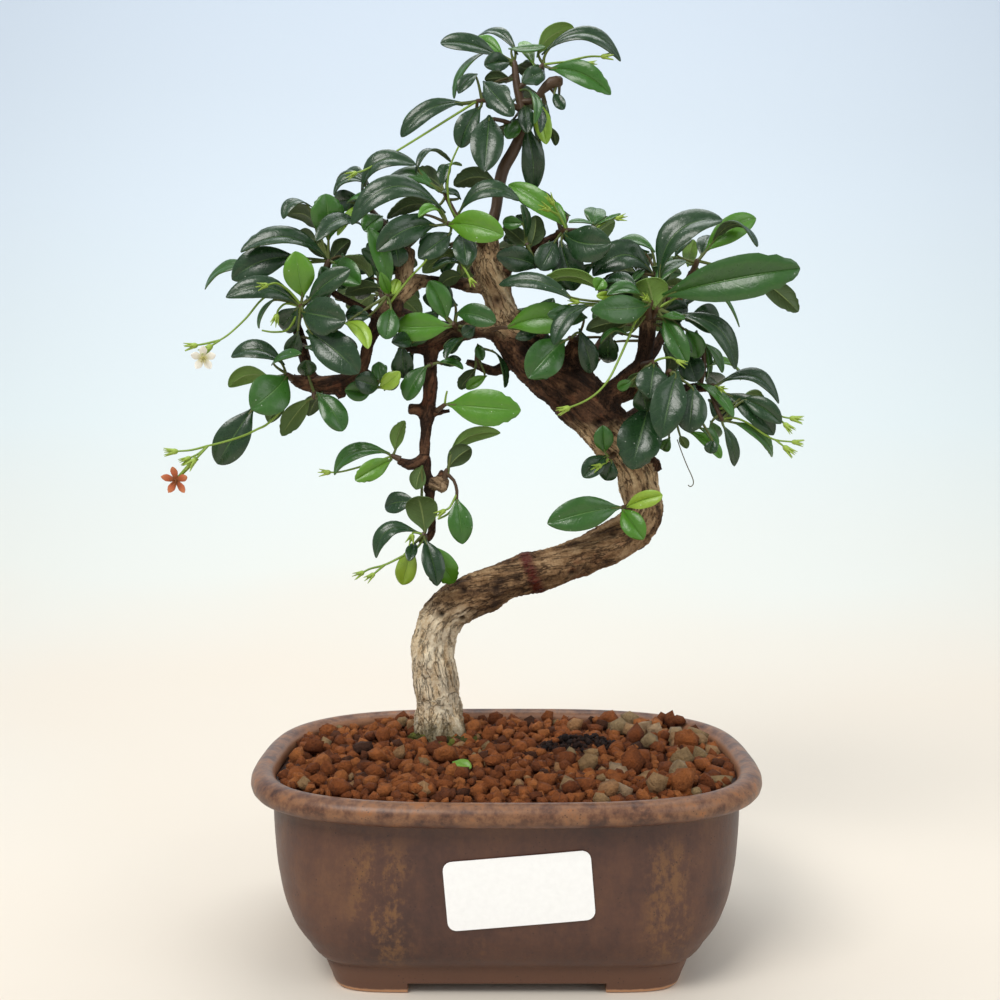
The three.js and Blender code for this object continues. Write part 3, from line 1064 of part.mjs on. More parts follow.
// Assembly
const wood = makeWood(0);
const woodWithClearance = makeWood(clearance + 0.15);
const pieces = [];
pieces.push(['pot', makePot(), glaze]);
pieces.push(['drain_screen_left', makeScreen(-drainOffset), meshPlastic]);
pieces.push(['drain_screen_right', makeScreen(drainOffset), meshPlastic]);
pieces.push(['soil', makeSoil(woodWithClearance), soilMaterial]);
pieces.push(['label', makeLabel(), paper]);
pieces.push(['trunk_and_branches', wood, bark]);

// Leafy stems end short of the wood, and give way where a neighbour is in place already
const allSprays = [...sprays, ...backSprays()];
const layouts = placeLeaves(allSprays);
const settled = [];

function settle(name, solid, material) {
  const free = settled.reduce((rest, neighbour) => {
    return rest.intersect(neighbour).isEmpty() ? rest : rest.subtract(neighbour);
  }, solid);
  const body = tidyBody(free);
  settled.push(swollen(body));
  pieces.push([name, body, material]);
}

allSprays.forEach((spray, index) => {
  settle(spray.name, makeSpray(spray, layouts[index]).subtract(woodWithClearance), leafGreen);
});

// Open flowers hang from the ends of their stalks
settle('faded_flower', makeFlower(-141, 182.5, -3, 6, -0.2), fadedPetal);
settle('pale_flower', makeFlower(-128.5, 234.5, -7, 5, 0.2), palePetal);

const tree = new THREE.Group();
pieces.forEach(([name, solid, material]) => tree.add(meshFrom(name, solid, material)));

// The origin is the middle of the whole part's underside
const bounds = new THREE.Box3().setFromObject(tree);
tree.position.set(-(bounds.min.x + bounds.max.x) / 2, -(bounds.min.y + bounds.max.y) / 2, -bounds.min.z);
const bonsai = new THREE.Group();
bonsai.add(tree);

export default bonsai;
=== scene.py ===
"""Fukien tea bonsai in its glazed stoneware pot: the finish of every piece, round the fixed solids.

Metres, +Z up. The camera stands at the pot's front and looks along +Y.
"""
import math

import bpy
from mathutils import Matrix, Vector, kdtree, noise

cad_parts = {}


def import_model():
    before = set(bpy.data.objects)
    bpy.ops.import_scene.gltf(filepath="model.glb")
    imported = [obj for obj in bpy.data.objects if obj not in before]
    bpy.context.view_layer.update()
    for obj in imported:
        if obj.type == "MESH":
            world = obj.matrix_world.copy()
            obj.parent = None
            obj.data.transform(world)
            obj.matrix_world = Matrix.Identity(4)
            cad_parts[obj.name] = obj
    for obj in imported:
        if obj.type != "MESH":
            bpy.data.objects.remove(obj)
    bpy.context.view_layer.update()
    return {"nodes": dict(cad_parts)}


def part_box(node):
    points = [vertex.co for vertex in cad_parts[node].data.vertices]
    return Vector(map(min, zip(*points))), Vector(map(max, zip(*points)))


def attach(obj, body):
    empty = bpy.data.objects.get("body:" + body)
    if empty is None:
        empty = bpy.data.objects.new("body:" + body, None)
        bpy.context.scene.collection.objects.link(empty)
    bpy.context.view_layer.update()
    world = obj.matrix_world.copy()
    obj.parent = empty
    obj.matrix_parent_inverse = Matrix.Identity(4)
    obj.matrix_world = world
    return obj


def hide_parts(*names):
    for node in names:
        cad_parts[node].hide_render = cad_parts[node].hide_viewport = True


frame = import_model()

MM = 0.001

# The pot, in millimetres: the solids' own sizes, but for the rim, which is 1.4 deeper below
RIM_HALF_WIDTH = 95
RIM_HALF_DEPTH = 72.3
RIM_ROLL = 4.5
RIM_HALF_HEIGHT = 4.4
RIM_CENTRE_HEIGHT = 69.9
RIM_SQUARENESS = 3.05
WALL_THICKNESS = 7
FLOOR_TOP = 12
FOOT_HEIGHT = 4
FOOT_CUT_HALF_WIDTH = 36
FOOT_CUT_HALF_DEPTH = 22
DRAIN_RADIUS = 8
DRAIN_OFFSET = 38
SOIL_TOP = 69.5
LABEL_CENTRE = (4.2, 42.3)
LABEL_SIZE = (52, 25)
LABEL_TILT = -0.085
LABEL_CORNER = 3.2
# How far the sticker's middle lies off the wall, and its thickness in metres
LABEL_LIFT = 0.75
LABEL_THICKNESS = 0.0003

# The crown is laid out as the viewer sees it: x and z lie in one upright plane,
# and each point is pushed along the line of sight to its own depth y.
EYE = Vector((-2.5, -482, 201))
LAYOUT_PLANE = 30
CAMERA_DIP = math.radians(3)
CAMERA_LENS = 43.2

pot_low, pot_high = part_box("pot")
pot_centre = Vector(((pot_low.x + pot_high.x) / 2, (pot_low.y + pot_high.y) / 2, 0))


def seen(x, z, y):
    """A place of the layout pushed along the line of sight to its depth."""
    reach = (y - EYE.y) / (LAYOUT_PLANE - EYE.y)
    return Vector((EYE.x + (x - EYE.x) * reach, y, EYE.z + (z - EYE.z) * reach))


def world(point):
    """A place in the pot's own millimetres, in the frame's metres."""
    return Vector(point) * MM + pot_centre


# Limbs of the wood, each a list of [x, z, depth, radius]
LIMBS = [
  # trunk
  [[-28.5, 46, 38, 12], [-28.5, 70, 38, 12], [-29, 80, 38, 10.8], [-29.3, 90, 37, 10],
    [-30.3, 100, 36, 10.2], [-31, 107, 35, 10.3], [-30, 115, 34, 9.8], [-28, 122, 32, 9.7],
    [-23.5, 128, 30, 9.6], [-16, 132.2, 29, 9.4], [-8, 135.6, 28, 9.2], [2, 139.6, 27, 9],
    [12, 143.3, 26, 8.5], [24, 147, 26, 8.4], [35, 151, 26, 8.4], [46, 156, 27, 8.6],
    [54, 161.5, 28, 8.8], [58.3, 169, 30, 8.8], [57.5, 177, 31, 8.6], [55.5, 186, 31, 8.8],
    [51.5, 194, 30, 9.6], [45, 202, 29, 10.4], [37.5, 211, 28, 11.4], [28, 221, 28, 12],
    [17, 231, 28, 11.8], [8, 239, 29, 10.6], [1.5, 247, 30, 8.6], [-1.5, 255, 30, 7],
    [-4, 263, 30, 6.8], [-7, 271, 30, 7], [-8, 279, 30, 5.8], [-7.2, 286.5, 30, 4.2]],
  # upper left branch, its stubs and its twigs
  [[-8, 265, 30, 4.4], [-16, 265.5, 28, 3.2], [-24, 266.4, 24, 2.2], [-32, 267, 20, 2.4],
    [-39, 266.6, 16, 4], [-43, 264, 13, 4.8], [-47, 259, 12, 4], [-52, 253, 12, 3],
    [-56, 246, 13, 3], [-58.5, 240, 14, 2.6], [-60.5, 232, 15, 2.6], [-64, 226.5, 16, 3.2],
    [-71, 223.5, 17, 4.4], [-80, 223, 18, 4], [-88, 224.5, 18, 3], [-91, 226, 18, 2]],
  [[-43, 264, 13, 4.4], [-42.5, 272, 12, 4], [-41.5, 281, 12, 3.4]],
  [[-46, 260, 12, 3], [-46, 253, 7, 2.6]],
  [[-54, 251, 12, 2.2], [-60, 255, 13, 1.7], [-66, 258, 14, 1.7], [-74, 262.5, 15, 1.7],
    [-77, 268, 15, 1.5], [-75.5, 273.5, 15, 1.3]],
  [[-82, 224, 18, 3], [-85.5, 235, 16, 2.7], [-88, 245, 13, 2.3], [-92, 254.5, 10, 2]],
  [[-89, 247, 12.5, 1.6], [-87.5, 254.5, 8, 1.5]],
  [[-72, 223.5, 17, 3.4], [-69.5, 218, 15, 2.2]],
  # lower left branch and the limb that hangs from it
  [[-3, 247, 29, 5.4], [-12, 247.5, 27, 4.8], [-20, 245.5, 25, 4.6], [-28, 242, 24, 4.2],
    [-34, 239.5, 24, 3.6], [-40, 239.5, 24, 3], [-44, 240, 23, 2]],
  [[-31, 241, 24, 3.6], [-32, 234, 23, 3.2], [-32, 226, 22, 3], [-32.5, 218, 22, 3.1],
    [-33.5, 211, 22, 3.5], [-34, 204, 22, 2.4], [-34.8, 196, 22, 2.3], [-34, 190, 22, 2.2],
    [-33.3, 185, 22, 2], [-32.5, 180, 22, 2.4], [-32.2, 173, 22, 1.8], [-31.8, 166, 22, 1.8],
    [-31.6, 161, 22, 1.8], [-33.5, 157.5, 21, 1.7], [-37.5, 156.3, 20, 1.3]],
  [[-34, 211, 22, 3], [-38.5, 213, 21, 2.4], [-41.5, 213, 21, 2.5]],
  [[-33, 212, 22, 2.2], [-28, 211.7, 20, 1.4], [-23.5, 212.3, 18, 1]],
  [[-34.5, 192.5, 22, 2.2], [-38, 189.7, 21, 2.6], [-41.5, 189.3, 21, 2.4], [-46, 191.3, 20, 1.8]],
  [[-32.5, 181, 22, 2.4], [-29.5, 181.5, 20, 2.8], [-26.5, 180.8, 19, 3.8], [-24.3, 180, 19, 2.6]],
  [[-28.5, 182, 20, 2.2], [-27, 187, 19, 1.4]],
  # short dead stub below the trunk's bend
  [[6, 237, 31, 4], [-2, 230, 33, 2.6], [-7, 229.5, 33, 2.1], [-12, 231.5, 32, 2],
    [-17, 233, 31, 1.5]],
  # right branches
  [[22, 229, 28, 7], [28, 236, 23, 4.6], [30.5, 243, 18, 3.6]],
  [[37, 212, 28, 8], [45, 219, 26, 6], [52, 225, 22, 5], [57.5, 231, 18, 3.9], [59.5, 238, 16, 3.7],
    [60, 246, 14, 3.6], [60, 251.5, 12, 3.3]],
  [[46, 219, 26, 4.6], [60, 222, 25, 3.4], [70, 221, 24, 2.8], [79, 222, 22, 2.3], [86, 222, 20, 1.8]],
  [[53, 226, 22, 3.4], [64, 240, 30, 2.6], [70, 252, 34, 2.3], [75, 262, 36, 1.9], [79, 271, 36, 1.6]],
  [[-5, 268, 30, 3], [3, 274, 26, 2.4], [10, 279.5, 22, 1.8], [17, 284, 20, 1.8], [23, 287, 20, 1.5]],
  [[59.5, 192, 28, 2.8], [64.5, 190, 26, 1.8], [65.7, 186.6, 26, 1.3]],
  # branches at the back
  [[4, 240, 34, 4], [2, 250, 48, 3], [-6, 262, 60, 2.4], [-14, 272, 68, 1.8]],
  [[28, 222, 34, 4.6], [38, 236, 48, 3.2], [48, 250, 60, 2.4], [56, 258, 66, 1.8]],
  [[-20, 246, 28, 3], [-34, 250, 42, 2.4], [-48, 256, 52, 1.8]],
  [[44, 204, 34, 4], [56, 212, 46, 2.8], [66, 222, 54, 1.8]],
]
# Leafy stems. A stem is a list of [x, z, depth, radius]. A leaf is
# [base x, base z, tip x, tip z, tip depth from the stem's, width, facing in degrees, age, bow]:
# facing 0 turns the upper side to the viewer, 90 up and 180 away, and age runs from
# 0, old and dark, to 3, just opened. A stalk is [depth at its tip, points, bud]: it starts on
# the stem, or at an earlier stalk's point that it names, and bud is true where a calyx ends it.
SPRAYS = [
  {"name": "apex_stem",
    "stems": [
      [[-6.6, 289.5, 30, 2.8], [-4.2, 297, 30, 2.3], [-3, 306, 30, 2.5], [-1, 314, 30, 2.6],
        [3, 321, 30, 2.5], [6.3, 328.5, 30, 2.2], [7, 335, 30, 2], [6, 342, 30, 1.9],
        [4.5, 349, 30, 1.7], [3.5, 358, 30, 1.2]],
      [[6, 341.5, 30, 1.5], [12, 342.3, 28, 1.5], [15, 346, 27, 1.7], [19, 349.5, 26, 2.6],
        [23, 350, 26, 2.2]],
      [[5, 347, 30, 1.2], [11, 352, 28, 1.1], [15.5, 357, 28, 0.9]],
      [[6.8, 338, 30, 1.3], [-2, 342, 26, 1.1], [-12, 342, 23, 0.9]],
      [[6.5, 329, 30, 1.2], [1, 333, 25, 1], [-5, 334.5, 22, 0.9]]],
    "leaves": [
      [-3, 360, -27.5, 366, -4, 9.5, 40, 0, 0.03], [-1, 360, -13.5, 367.5, 8, 6, 30, 2, 0.05],
      [5, 361, -13, 367, 14, 6, 50, 0, 0.14], [1, 363.5, 16.5, 364, -3, 6, 60, 1, -0.12],
      [12, 356, 6.5, 366.3, 8, 6, 20, 2, 0], [13, 360, 28.5, 372, 6, 9, 150, 2, 0.1],
      [15, 361, 49, 359, -2, 9, 48, 0, 0.2], [18, 355, 44, 344.5, -10, 10, 20, 1, 0.08],
      [20, 345, 24.5, 338.5, -4, 5, 0, 0, 0], [19, 331, 21, 323.5, 6, 4, 150, 0, 0],
      [13, 342, 17, 324, -4, 7.5, 10, 3, 0], [11, 342, 14.5, 329, -9, 5, 50, 0, 0],
      [5.5, 346.5, 12.5, 333, -14, 5, 60, 1, 0.05], [8, 333, 11.3, 304.3, 6, 10.5, 20, 0, 0.02],
      [-7, 336, -9, 312.5, -10, 14, 0, 0, 0], [-10, 340, -19, 322.5, -6, 10, 20, 0, 0.05],
      [-17, 341, -44, 327, -4, 8.5, 30, 0, 0.1], [-18, 340, -43.5, 333, 6, 6, 60, 1, 0.06],
      [-9.5, 350, 3, 336, -16, 9.5, 0, 0, 0], [-5.5, 363, -22.5, 343, -8, 7, 70, 1, 0.08],
      [-12, 353, -20, 345, -4, 6, 30, 0, 0.04], [2, 358, -9, 357, -8, 8, 20, 0, 0],
      [2, 351, -9, 351, 4, 6, 150, 0, 0], [16, 354, 7, 350, -9, 8, 10, 0, 0],
      [8, 340, 9, 329, -7, 7, 0, 0, 0], [6, 334, 0.5, 326.5, -9, 7, 20, 1, 0],
      [-4, 308, -22, 307, 8, 9, 165, 0, 0.12], [4, 356, 12, 350, 12, 8, 150, 0, 0.1],
      [2, 340, 14, 338, 14, 9, 130, 0, 0.1], [0, 332, -6, 318, 14, 10, 150, 0, 0.1]],
    "stalks": [
      [22, [[15, 357], [25, 358], [33, 357.3]], True], [24, [[25, 358], [34, 360.2], [40, 360.3]], True],
      [10, [[-12, 341.5], [-25, 334], [-38, 326], [-48, 320], [-58, 314], [-63, 312.2]], True]]},

  {"name": "upper_left_stem",
    "stems": [
      [[-10, 283, 25, 2.2], [-15, 287, 18, 1.8], [-20, 289.5, 12, 1.5], [-24.5, 291, 8, 1.2]],
      [[-18, 288.5, 15, 1.4], [-22, 296, 16, 1.1], [-26, 304, 16, 0.9]],
      [[-18, 288.5, 15, 1.3], [-19, 281, 12, 1.1], [-18.5, 272, 12, 0.9]]],
    "leaves": [
      [-24.5, 290.5, -1, 286, -14, 12.5, 0, 2, 0.06], [-20, 295, 6, 301, -4, 8.5, 35, 0, 0.22],
      [-19, 301, -27, 304, -2, 5, 60, 0, 0.1], [-25.5, 295.5, -66, 291, -10, 11.5, 32, 0, 0.26],
      [-28, 304, -54, 303, 8, 9, 50, 1, 0.22], [-28, 297, -50, 293, 2, 8, 140, 0, 0.12],
      [-29, 290, -54.5, 279.5, -12, 12, 10, 0, 0.1], [-23, 287, -37, 276.5, -6, 10, 10, 0, 0],
      [-19, 287.5, -16.5, 273.5, -10, 10, 10, 0, 0], [-20, 280, -35, 270.5, 6, 8, 165, 1, 0.05],
      [-17, 271.5, -31, 272, 2, 6, 70, 0, 0.16], [-18, 269, -28, 265, 8, 7, 160, 0, 0.1],
      [-27, 294, -37, 294, -8, 5, 60, 2, 0.14], [-38, 311, -23, 317, 12, 6, 75, 0, 0.26],
      [-27, 306, -38, 313, 14, 9, 150, 0, 0], [-27, 306, -25, 316, 16, 6, 20, 0, 0],
      [-25, 308, -18.5, 315, 12, 4, 60, 2, 0.12]],
    "stalks": [
      [2, [[-22, 292.5], [-23.5, 298], [-24.6, 306], [-23.4, 315], [-20, 323]]],
      [-2, [[-20.5, 279], [-19, 275], [-16.5, 270.5], [-15, 267.8]], True]]},

  {"name": "left_top_stem",
    "stems": [[[-42.2, 279, 14, 1.9], [-48, 286, 15, 1.5], [-54, 293, 16, 1.3], [-58.5, 299, 18, 1.1]]],
    "leaves": [
      [-61, 302, -38, 315.5, 4, 10, 45, 0, 0.26], [-58, 307, -73, 303, 0, 7, 60, 0, 0.22],
      [-57, 306, -71, 307, 6, 6, 60, 0, 0.18], [-67, 299.5, -54.5, 301.5, -12, 7, 65, 1, 0.02],
      [-58.5, 300, -71, 286, -6, 6, 55, 3, 0.02], [-61, 302, -72, 300, 8, 9, 0, 0, 0],
      [-52, 294, -60, 288, 2, 9, 20, 1, 0], [-58.5, 288, -80, 283.5, -8, 8.5, 48, 0, 0.16],
      [-55, 294, -50, 280, 4, 9, 10, 1, 0]],
    "stalks": []},

  {"name": "left_front_stem",
    "stems": [[[-48.5, 257, 10, 1.6], [-50, 261, 5, 1.1]]],
    "leaves": [
      [-50, 262, -58, 289, -8, 8, 10, 1, 0.06], [-52, 264, -68, 261.5, 6, 7, 150, 0, 0.04],
      [-47, 283, -45, 273, 0, 9, 0, 0, 0], [-56, 280, -51, 270, 4, 7, 20, 0, 0],
      [-49.5, 261.5, -53, 270.5, -5, 4.5, 0, 2, 0], [-48, 260.5, -46, 267.8, -6, 4.5, 0, 3, 0],
      [-48.5, 256, -51, 242.5, -6, 9, 0, 1, 0], [-57, 252, -68, 253, 2, 7.5, 10, 0, 0],
      [-69.5, 249, -58.5, 238.5, -4, 7, 30, 3, 0.12]],
    "stalks": [[2, [[-54.5, 252], [-49.5, 257.5], [-45, 263], [-40.5, 268.5], [-36, 273], [-33.5, 276]]]]},

  {"name": "left_upper_stem",
    "stems": [[[-76.5, 270, 15, 1.8], [-75, 275.5, 13, 1.3]]],
    "leaves": [
      [-75, 284, -76, 303.5, -4, 14, 10, 1, 0], [-80, 286, -93, 295, 6, 12, 120, 0, 0.18],
      [-82, 298, -94, 293, 4, 7, 60, 0, 0.24], [-80, 284, -88, 286, 8, 7, 150, 0, 0],
      [-75, 275.5, -112, 279, -8, 12.5, 55, 0, 0.14], [-88, 277, -116, 267.5, -10, 13, 15, 0, 0.08],
      [-105, 273, -127.5, 263.5, 6, 7.5, 58, 1, 0.1], [-73, 275, -61.5, 265.5, -8, 11, 0, 1, 0],
      [-74, 276, -84, 282, 4, 7, 150, 0, 0.05],
      [-74, 275, -66, 284, 10, 8, 150, 0, 0]],
    "stalks": []},

  {"name": "left_middle_stem",
    "stems": [[[-87.6, 252.5, 9, 1.8], [-86.8, 257, 4, 1.2]]],
    "leaves": [
      [-86, 260, -89, 279.5, -8, 12.5, 0, 2, 0], [-88, 257, -118.5, 260, -8, 10, 25, 0, 0.16],
      [-84, 258, -66, 272, -2, 9, 20, 0, 0.02], [-86.5, 254, -68, 250.5, -14, 15.5, 0, 0, 0],
      [-88, 256, -95, 246.5, 8, 10, 10, 0, 0], [-97, 260, -105, 247, 2, 5, 70, 1, 0.02],
      [-88, 246, -91.5, 235, 8, 7.5, 0, 0, 0], [-84.5, 246, -62.5, 228, -10, 15, 0, 0, 0.04]],
    "stalks": [
      [0, [[-88, 256.5], [-93, 257.5], [-96.3, 255], [-97, 252.8]], True],
      [-8, [[-87, 257.5], [-92, 263], [-97, 266], [-101, 265.3]], True],
      [-4, [[-88, 257], [-96, 262], [-103, 259.5], [-110, 251.5], [-117, 245], [-121.5, 242]]],
      [-6, [[-121.5, 242], [-127, 240.7], [-131, 240]], True],
      [-5, [[-121.5, 242], [-124.8, 239.8]], True],
      [4, [[-88, 254], [-92, 247], [-98, 245.5], [-103.5, 246.2]]]]},

  {"name": "left_lower_stem",
    "stems": [[[-90.5, 225.8, 17, 1.7], [-93, 227.5, 13, 1.2]]],
    "leaves": [
      [-93, 227, -108.5, 213, -12, 17, 0, 1, -0.04], [-100, 226, -118, 222.5, 4, 8.5, 150, 2, 0.12],
      [-107, 214, -123, 189.5, -2, 14, 10, 0, 0], [-94, 222, -101, 207, 6, 8.5, 170, 1, 0],
      [-94, 231.5, -117, 235.3, 0, 9.5, 35, 0, 0.14], [-99.5, 231.5, -87, 236.5, -12, 6, 58, 1, 0]],
    "stalks": [
      [2, [[-93, 227], [-95, 214], [-101, 207], [-106, 204.3], [-112, 201.5], [-120, 199],
        [-127, 197.3]]],
      [0, [[-127, 197.3], [-134, 195.5], [-140, 195]], True],
      [0, [[-127, 197.3], [-131, 194], [-134.5, 192.3]], True],
      [-2, [[-127, 197.3], [-130.5, 193.5], [-132.5, 191.5]], True]]},

  {"name": "left_under_stem",
    "stems": [[[-81, 221, 15, 1.6], [-81.5, 218, 12, 1.2]]],
    "leaves": [
      [-83, 217.5, -95.5, 201.5, 2, 9, 165, 1, 0.02], [-80.5, 220, -69.5, 203.5, -6, 10.5, 10, 1, 0.04],
      [-84, 227, -85, 233.5, -10, 8, 0, 0, 0],
      [-78, 220, -84, 210, 12, 8, 150, 0, 0]],
    "stalks": []},

  {"name": "left_inner_stem",
    "stems": [[[-65, 225.5, 15, 1.7], [-60, 222.5, 13, 1.3], [-55.5, 222, 11, 1]]],
    "leaves": [
      [-54, 222, -64, 225.5, -8, 9.5, 10, 0, 0], [-53.5, 224.5, -54, 232.8, -5, 6.5, 0, 1, 0],
      [-54, 221.8, -45, 228.8, -3, 7, 10, 3, -0.06], [-57, 220.5, -68.5, 221, 4, 8.5, 0, 1, -0.02]],
    "stalks": []},

  {"name": "left_centre_stem",
    "stems": [[[-20, 247, 22, 1.8], [-22.3, 249, 14, 1.2]]],
    "leaves": [
      [-23, 248, -47, 247.5, -8, 12, 0, 2, 0], [-25, 250, -32.5, 267, -4, 10, 15, 1, 0.02],
      [-21.5, 253, -4.3, 249.5, -10, 9.5, 0, 1, 0.08], [-13, 248, -18.5, 244, 3, 6, 0, 0, 0],
      [-40, 242, -48.5, 241, 0, 7, 20, 0, 0], [-44, 240.5, -43.5, 226, 4, 9, 0, 0, 0],
      [-16, 243.5, -26, 234.5, 2, 6, 65, 0, 0.02]],
    "stalks": []},

  {"name": "hanging_stem_upper",
    "stems": [[[-32.3, 231.5, 20, 1.4], [-31.5, 232, 16, 0.9]]],
    "leaves": [
      [-33, 231.5, -42, 216.5, -2, 9, 20, 1, 0.06], [-29, 232.5, -18, 230, -2, 5.5, 62, 1, 0.04]],
    "stalks": []},

  {"name": "hanging_stem_right",
    "stems": [[[-29, 212.5, 19, 1.2], [-26, 214.8, 15, 0.9]]],
    "leaves": [[-25, 215, 6.3, 212.3, -8, 15.5, 0, 2, 0]],
    "stalks": [[13, [[-26, 214.8], [-25.6, 218], [-25, 220.5]]]]},

  {"name": "hanging_stem_left",
    "stems": [[[-45, 191.5, 20, 1.5], [-48.3, 193, 20, 1]]],
    "leaves": [
      [-49.5, 194, -74, 185, 4, 8.5, 35, 1, 0.16], [-48.5, 191.5, -64.3, 182.5, -6, 8.5, 0, 2, 0.02],
      [-47, 195, -43, 208, 4, 6.5, 160, 2, 0.05]],
    "stalks": [[26, [[-48.3, 193], [-60, 189], [-70, 186.3], [-75, 186]], True]]},

  {"name": "hanging_stem_knob",
    "stems": [
      [[-26.3, 183, 18, 1.5], [-25.3, 186.8, 17, 1]],
      [[-25.6, 185.6, 17, 0.9], [-22.2, 182.5, 17, 0.7], [-20.9, 178, 17, 0.7], [-21, 174.8, 17, 0.7]]],
    "leaves": [
      [-25, 187.5, -14.8, 196.5, -2, 9, 165, 0, 0.04], [-24, 194, -2.3, 202.8, 8, 6.5, 165, 2, 0.12],
      [-21, 175, -18.5, 155.3, -2, 10.5, 5, 1, 0]],
    "stalks": [
      [15, [[-21, 174.8], [-22, 171.5], [-25, 168], [-29, 166]]],
      [14, [[-21.6, 178.5], [-22.3, 174], [-24, 171], [-26, 169.8]], True]]},

  {"name": "hanging_stem_middle",
    "stems": [[[-33, 174, 20, 1.2], [-36, 173.3, 18, 0.9]]],
    "leaves": [
      [-37.5, 173, -51.5, 171, 6, 9.5, 18, 0, 0.06], [-35.5, 189, -38.3, 178.7, 0, 7.5, 160, 1, 0.02]],
    "stalks": []},

  {"name": "hanging_stem_tip",
    "stems": [[[-34.5, 158, 20, 1.4], [-35.3, 159.6, 16, 1.1]]],
    "leaves": [
      [-34.5, 160, -37.5, 176, -5, 14, 165, 1, 0], [-37, 160, -55.8, 149.3, -2, 8.5, 35, 0, 0.3],
      [-39, 156, -41.5, 148, -9, 5, 10, 0, 0], [-40, 155.5, -44.3, 138, 4, 9, 0, 3, 0],
      [-35, 157.5, -29.5, 137.2, -5, 9.5, 15, 0, 0.02], [-34, 156, -22, 138.3, 5, 11.5, 0, 2, 0]],
    "stalks": [
      [8, [[-34.5, 158.8], [-38, 153.8], [-45, 149.7], [-52, 146.3], [-58, 144.7], [-61, 143.2]], True],
      [8, [[-52, 146.3], [-56.5, 142.5]], True], [12, [[-36, 159.8], [-39.5, 160.2], [-40, 159]], True]]},

  {"name": "bend_stem",
    "stems": [[[-11, 231, 31, 1.2], [-12.5, 234, 29, 0.9], [-12, 239, 29, 0.8]]],
    "leaves": [
      [-12, 240.5, -10, 233.5, -3, 4.5, 0, 1, 0], [-12.5, 230.5, -20, 221.5, 2, 6.5, 150, 0, -0.04],
      [-8, 227, -17, 221.5, 6, 5, 20, 2, 0], [-6, 238, -0.5, 222, 2, 5, 62, 0, 0.04]],
    "stalks": []},

  {"name": "trunk_front_stem",
    "stems": [[[-5.5, 246.3, 22, 1], [-2.5, 247.4, 18, 0.8], [0.5, 247.4, 16, 0.8]]],
    "leaves": [[0.5, 247.3, 30, 250.5, -8, 13, 0, 2, 0.08], [14, 246, 4, 243, 3, 5, 0, 0, 0]],
    "stalks": []},

  {"name": "knob_stem",
    "stems": [[[30.3, 242, 15, 1.6], [27, 243, 9, 1]]],
    "leaves": [[25, 242, 9.5, 226, -6, 15, 0, 1, 0.03], [31, 247, 36.5, 228, 4, 8.5, 20, 0, 0]],
    "stalks": []},

  {"name": "trunk_sprout",
    "stems": [[[53.5, 171.3, 23, 1.3], [50, 171, 17, 1]]],
    "leaves": [
      [49, 171, 17.8, 164, -4, 14, 0, 1, 0.03], [51, 170.8, 67, 176.2, -8, 7.3, 0, 3, 0.04],
      [49.7, 170.3, 59, 157.3, -8, 9.8, 0, 2, 0]],
    "stalks": []},

  {"name": "trunk_low_stem",
    "stems": [[[46, 193.5, 21, 1.4], [44, 192, 16, 1]]],
    "leaves": [
      [43, 193, 33, 183.8, -4, 8.5, 10, 0, 0.02], [45.5, 191, 42.5, 182.5, -6, 8, 0, 0, 0],
      [42, 194.5, 41.3, 206, -3, 8.3, 0, 1, 0]],
    "stalks": [[11, [[44.5, 191.5], [42.5, 190], [40.5, 189]], True]]},

  {"name": "centre_stem",
    "stems": [[[10, 280.3, 21, 1.5], [9, 282.5, 15, 1]]],
    "leaves": [
      [14, 272.5, -4, 277.5, -10, 10, 0, 0, 0.06], [10, 281, 12.5, 294.5, 5, 9.5, 160, 0, -0.1],
      [8, 284, 6.8, 299, -2, 5, 50, 0, 0],
      [8, 291, -1.5, 291.5, 4, 5.5, 0, 1, 0],
      [9, 281.5, -1, 290, 3, 7, 160, 0, 0]],
    "stalks": []},

  {"name": "centre_right_stem",
    "stems": [[[22, 287.2, 19, 1.4], [25.5, 288.5, 13, 1.1]], [[25, 288.3, 14, 1], [37, 288, 17, 0.9]]],
    "leaves": [
      [26, 289, 1, 307.3, -2, 9, 10, 2, 0.04], [26, 289.5, 19.5, 300, 6, 4.5, 10, 2, 0],
      [24.5, 287, 44.3, 283, -14, 15, 0, 0, -0.1], [21, 284, 14.5, 271.5, -4, 10.5, 0, 0, 0],
      [23, 284, 29, 263, -8, 13.5, 0, 0, 0], [36.5, 290, 38, 297.5, 8, 9.5, 0, 1, 0],
      [38, 290.3, 26.5, 291.7, -6, 4.5, 72, 1, -0.03], [38, 290.3, 48.5, 295, -4, 4.5, 72, 1, -0.1],
      [38, 286, 45.5, 292, 5, 9.5, 160, 1, 0]],
    "stalks": [
      [7, [[26, 289], [22.5, 294.5], [20, 299]], True], [6, [[22.5, 294.5], [18.5, 296.6]], True],
      [12, [[37, 288], [43, 292.5], [46.5, 293]], True]]},

  {"name": "right_dark_stem",
    "stems": [[[70.5, 254, 32, 1.8], [67, 262, 27, 1.5], [63.5, 269, 22, 1.2]]],
    "leaves": [
      [62, 270, 37, 269, -4, 14, 25, 0, 0.28], [63, 279, 45, 282, 4, 7.5, 60, 1, 0.1],
      [59, 272, 53, 266.5, -6, 3.4, 20, 1, 0], [62, 268, 52, 258, 8, 9, 140, 0, 0]],
    "stalks": []},

  {"name": "right_front_stem",
    "stems": [[[60, 252.6, 9.5, 2.4], [60.3, 256, 2, 1.5], [61.5, 258, 0, 1.1]]],
    "leaves": [
      [61, 256.5, 36, 255, -12, 11.5, 10, 1, -0.04], [58, 260, 43, 261, -4, 7.5, 50, 1, 0.14],
      [56, 262, 40, 265, 5, 7.5, 50, 0, 0.14], [46, 261, 38.3, 260.7, -16, 3.6, 0, 3, 0],
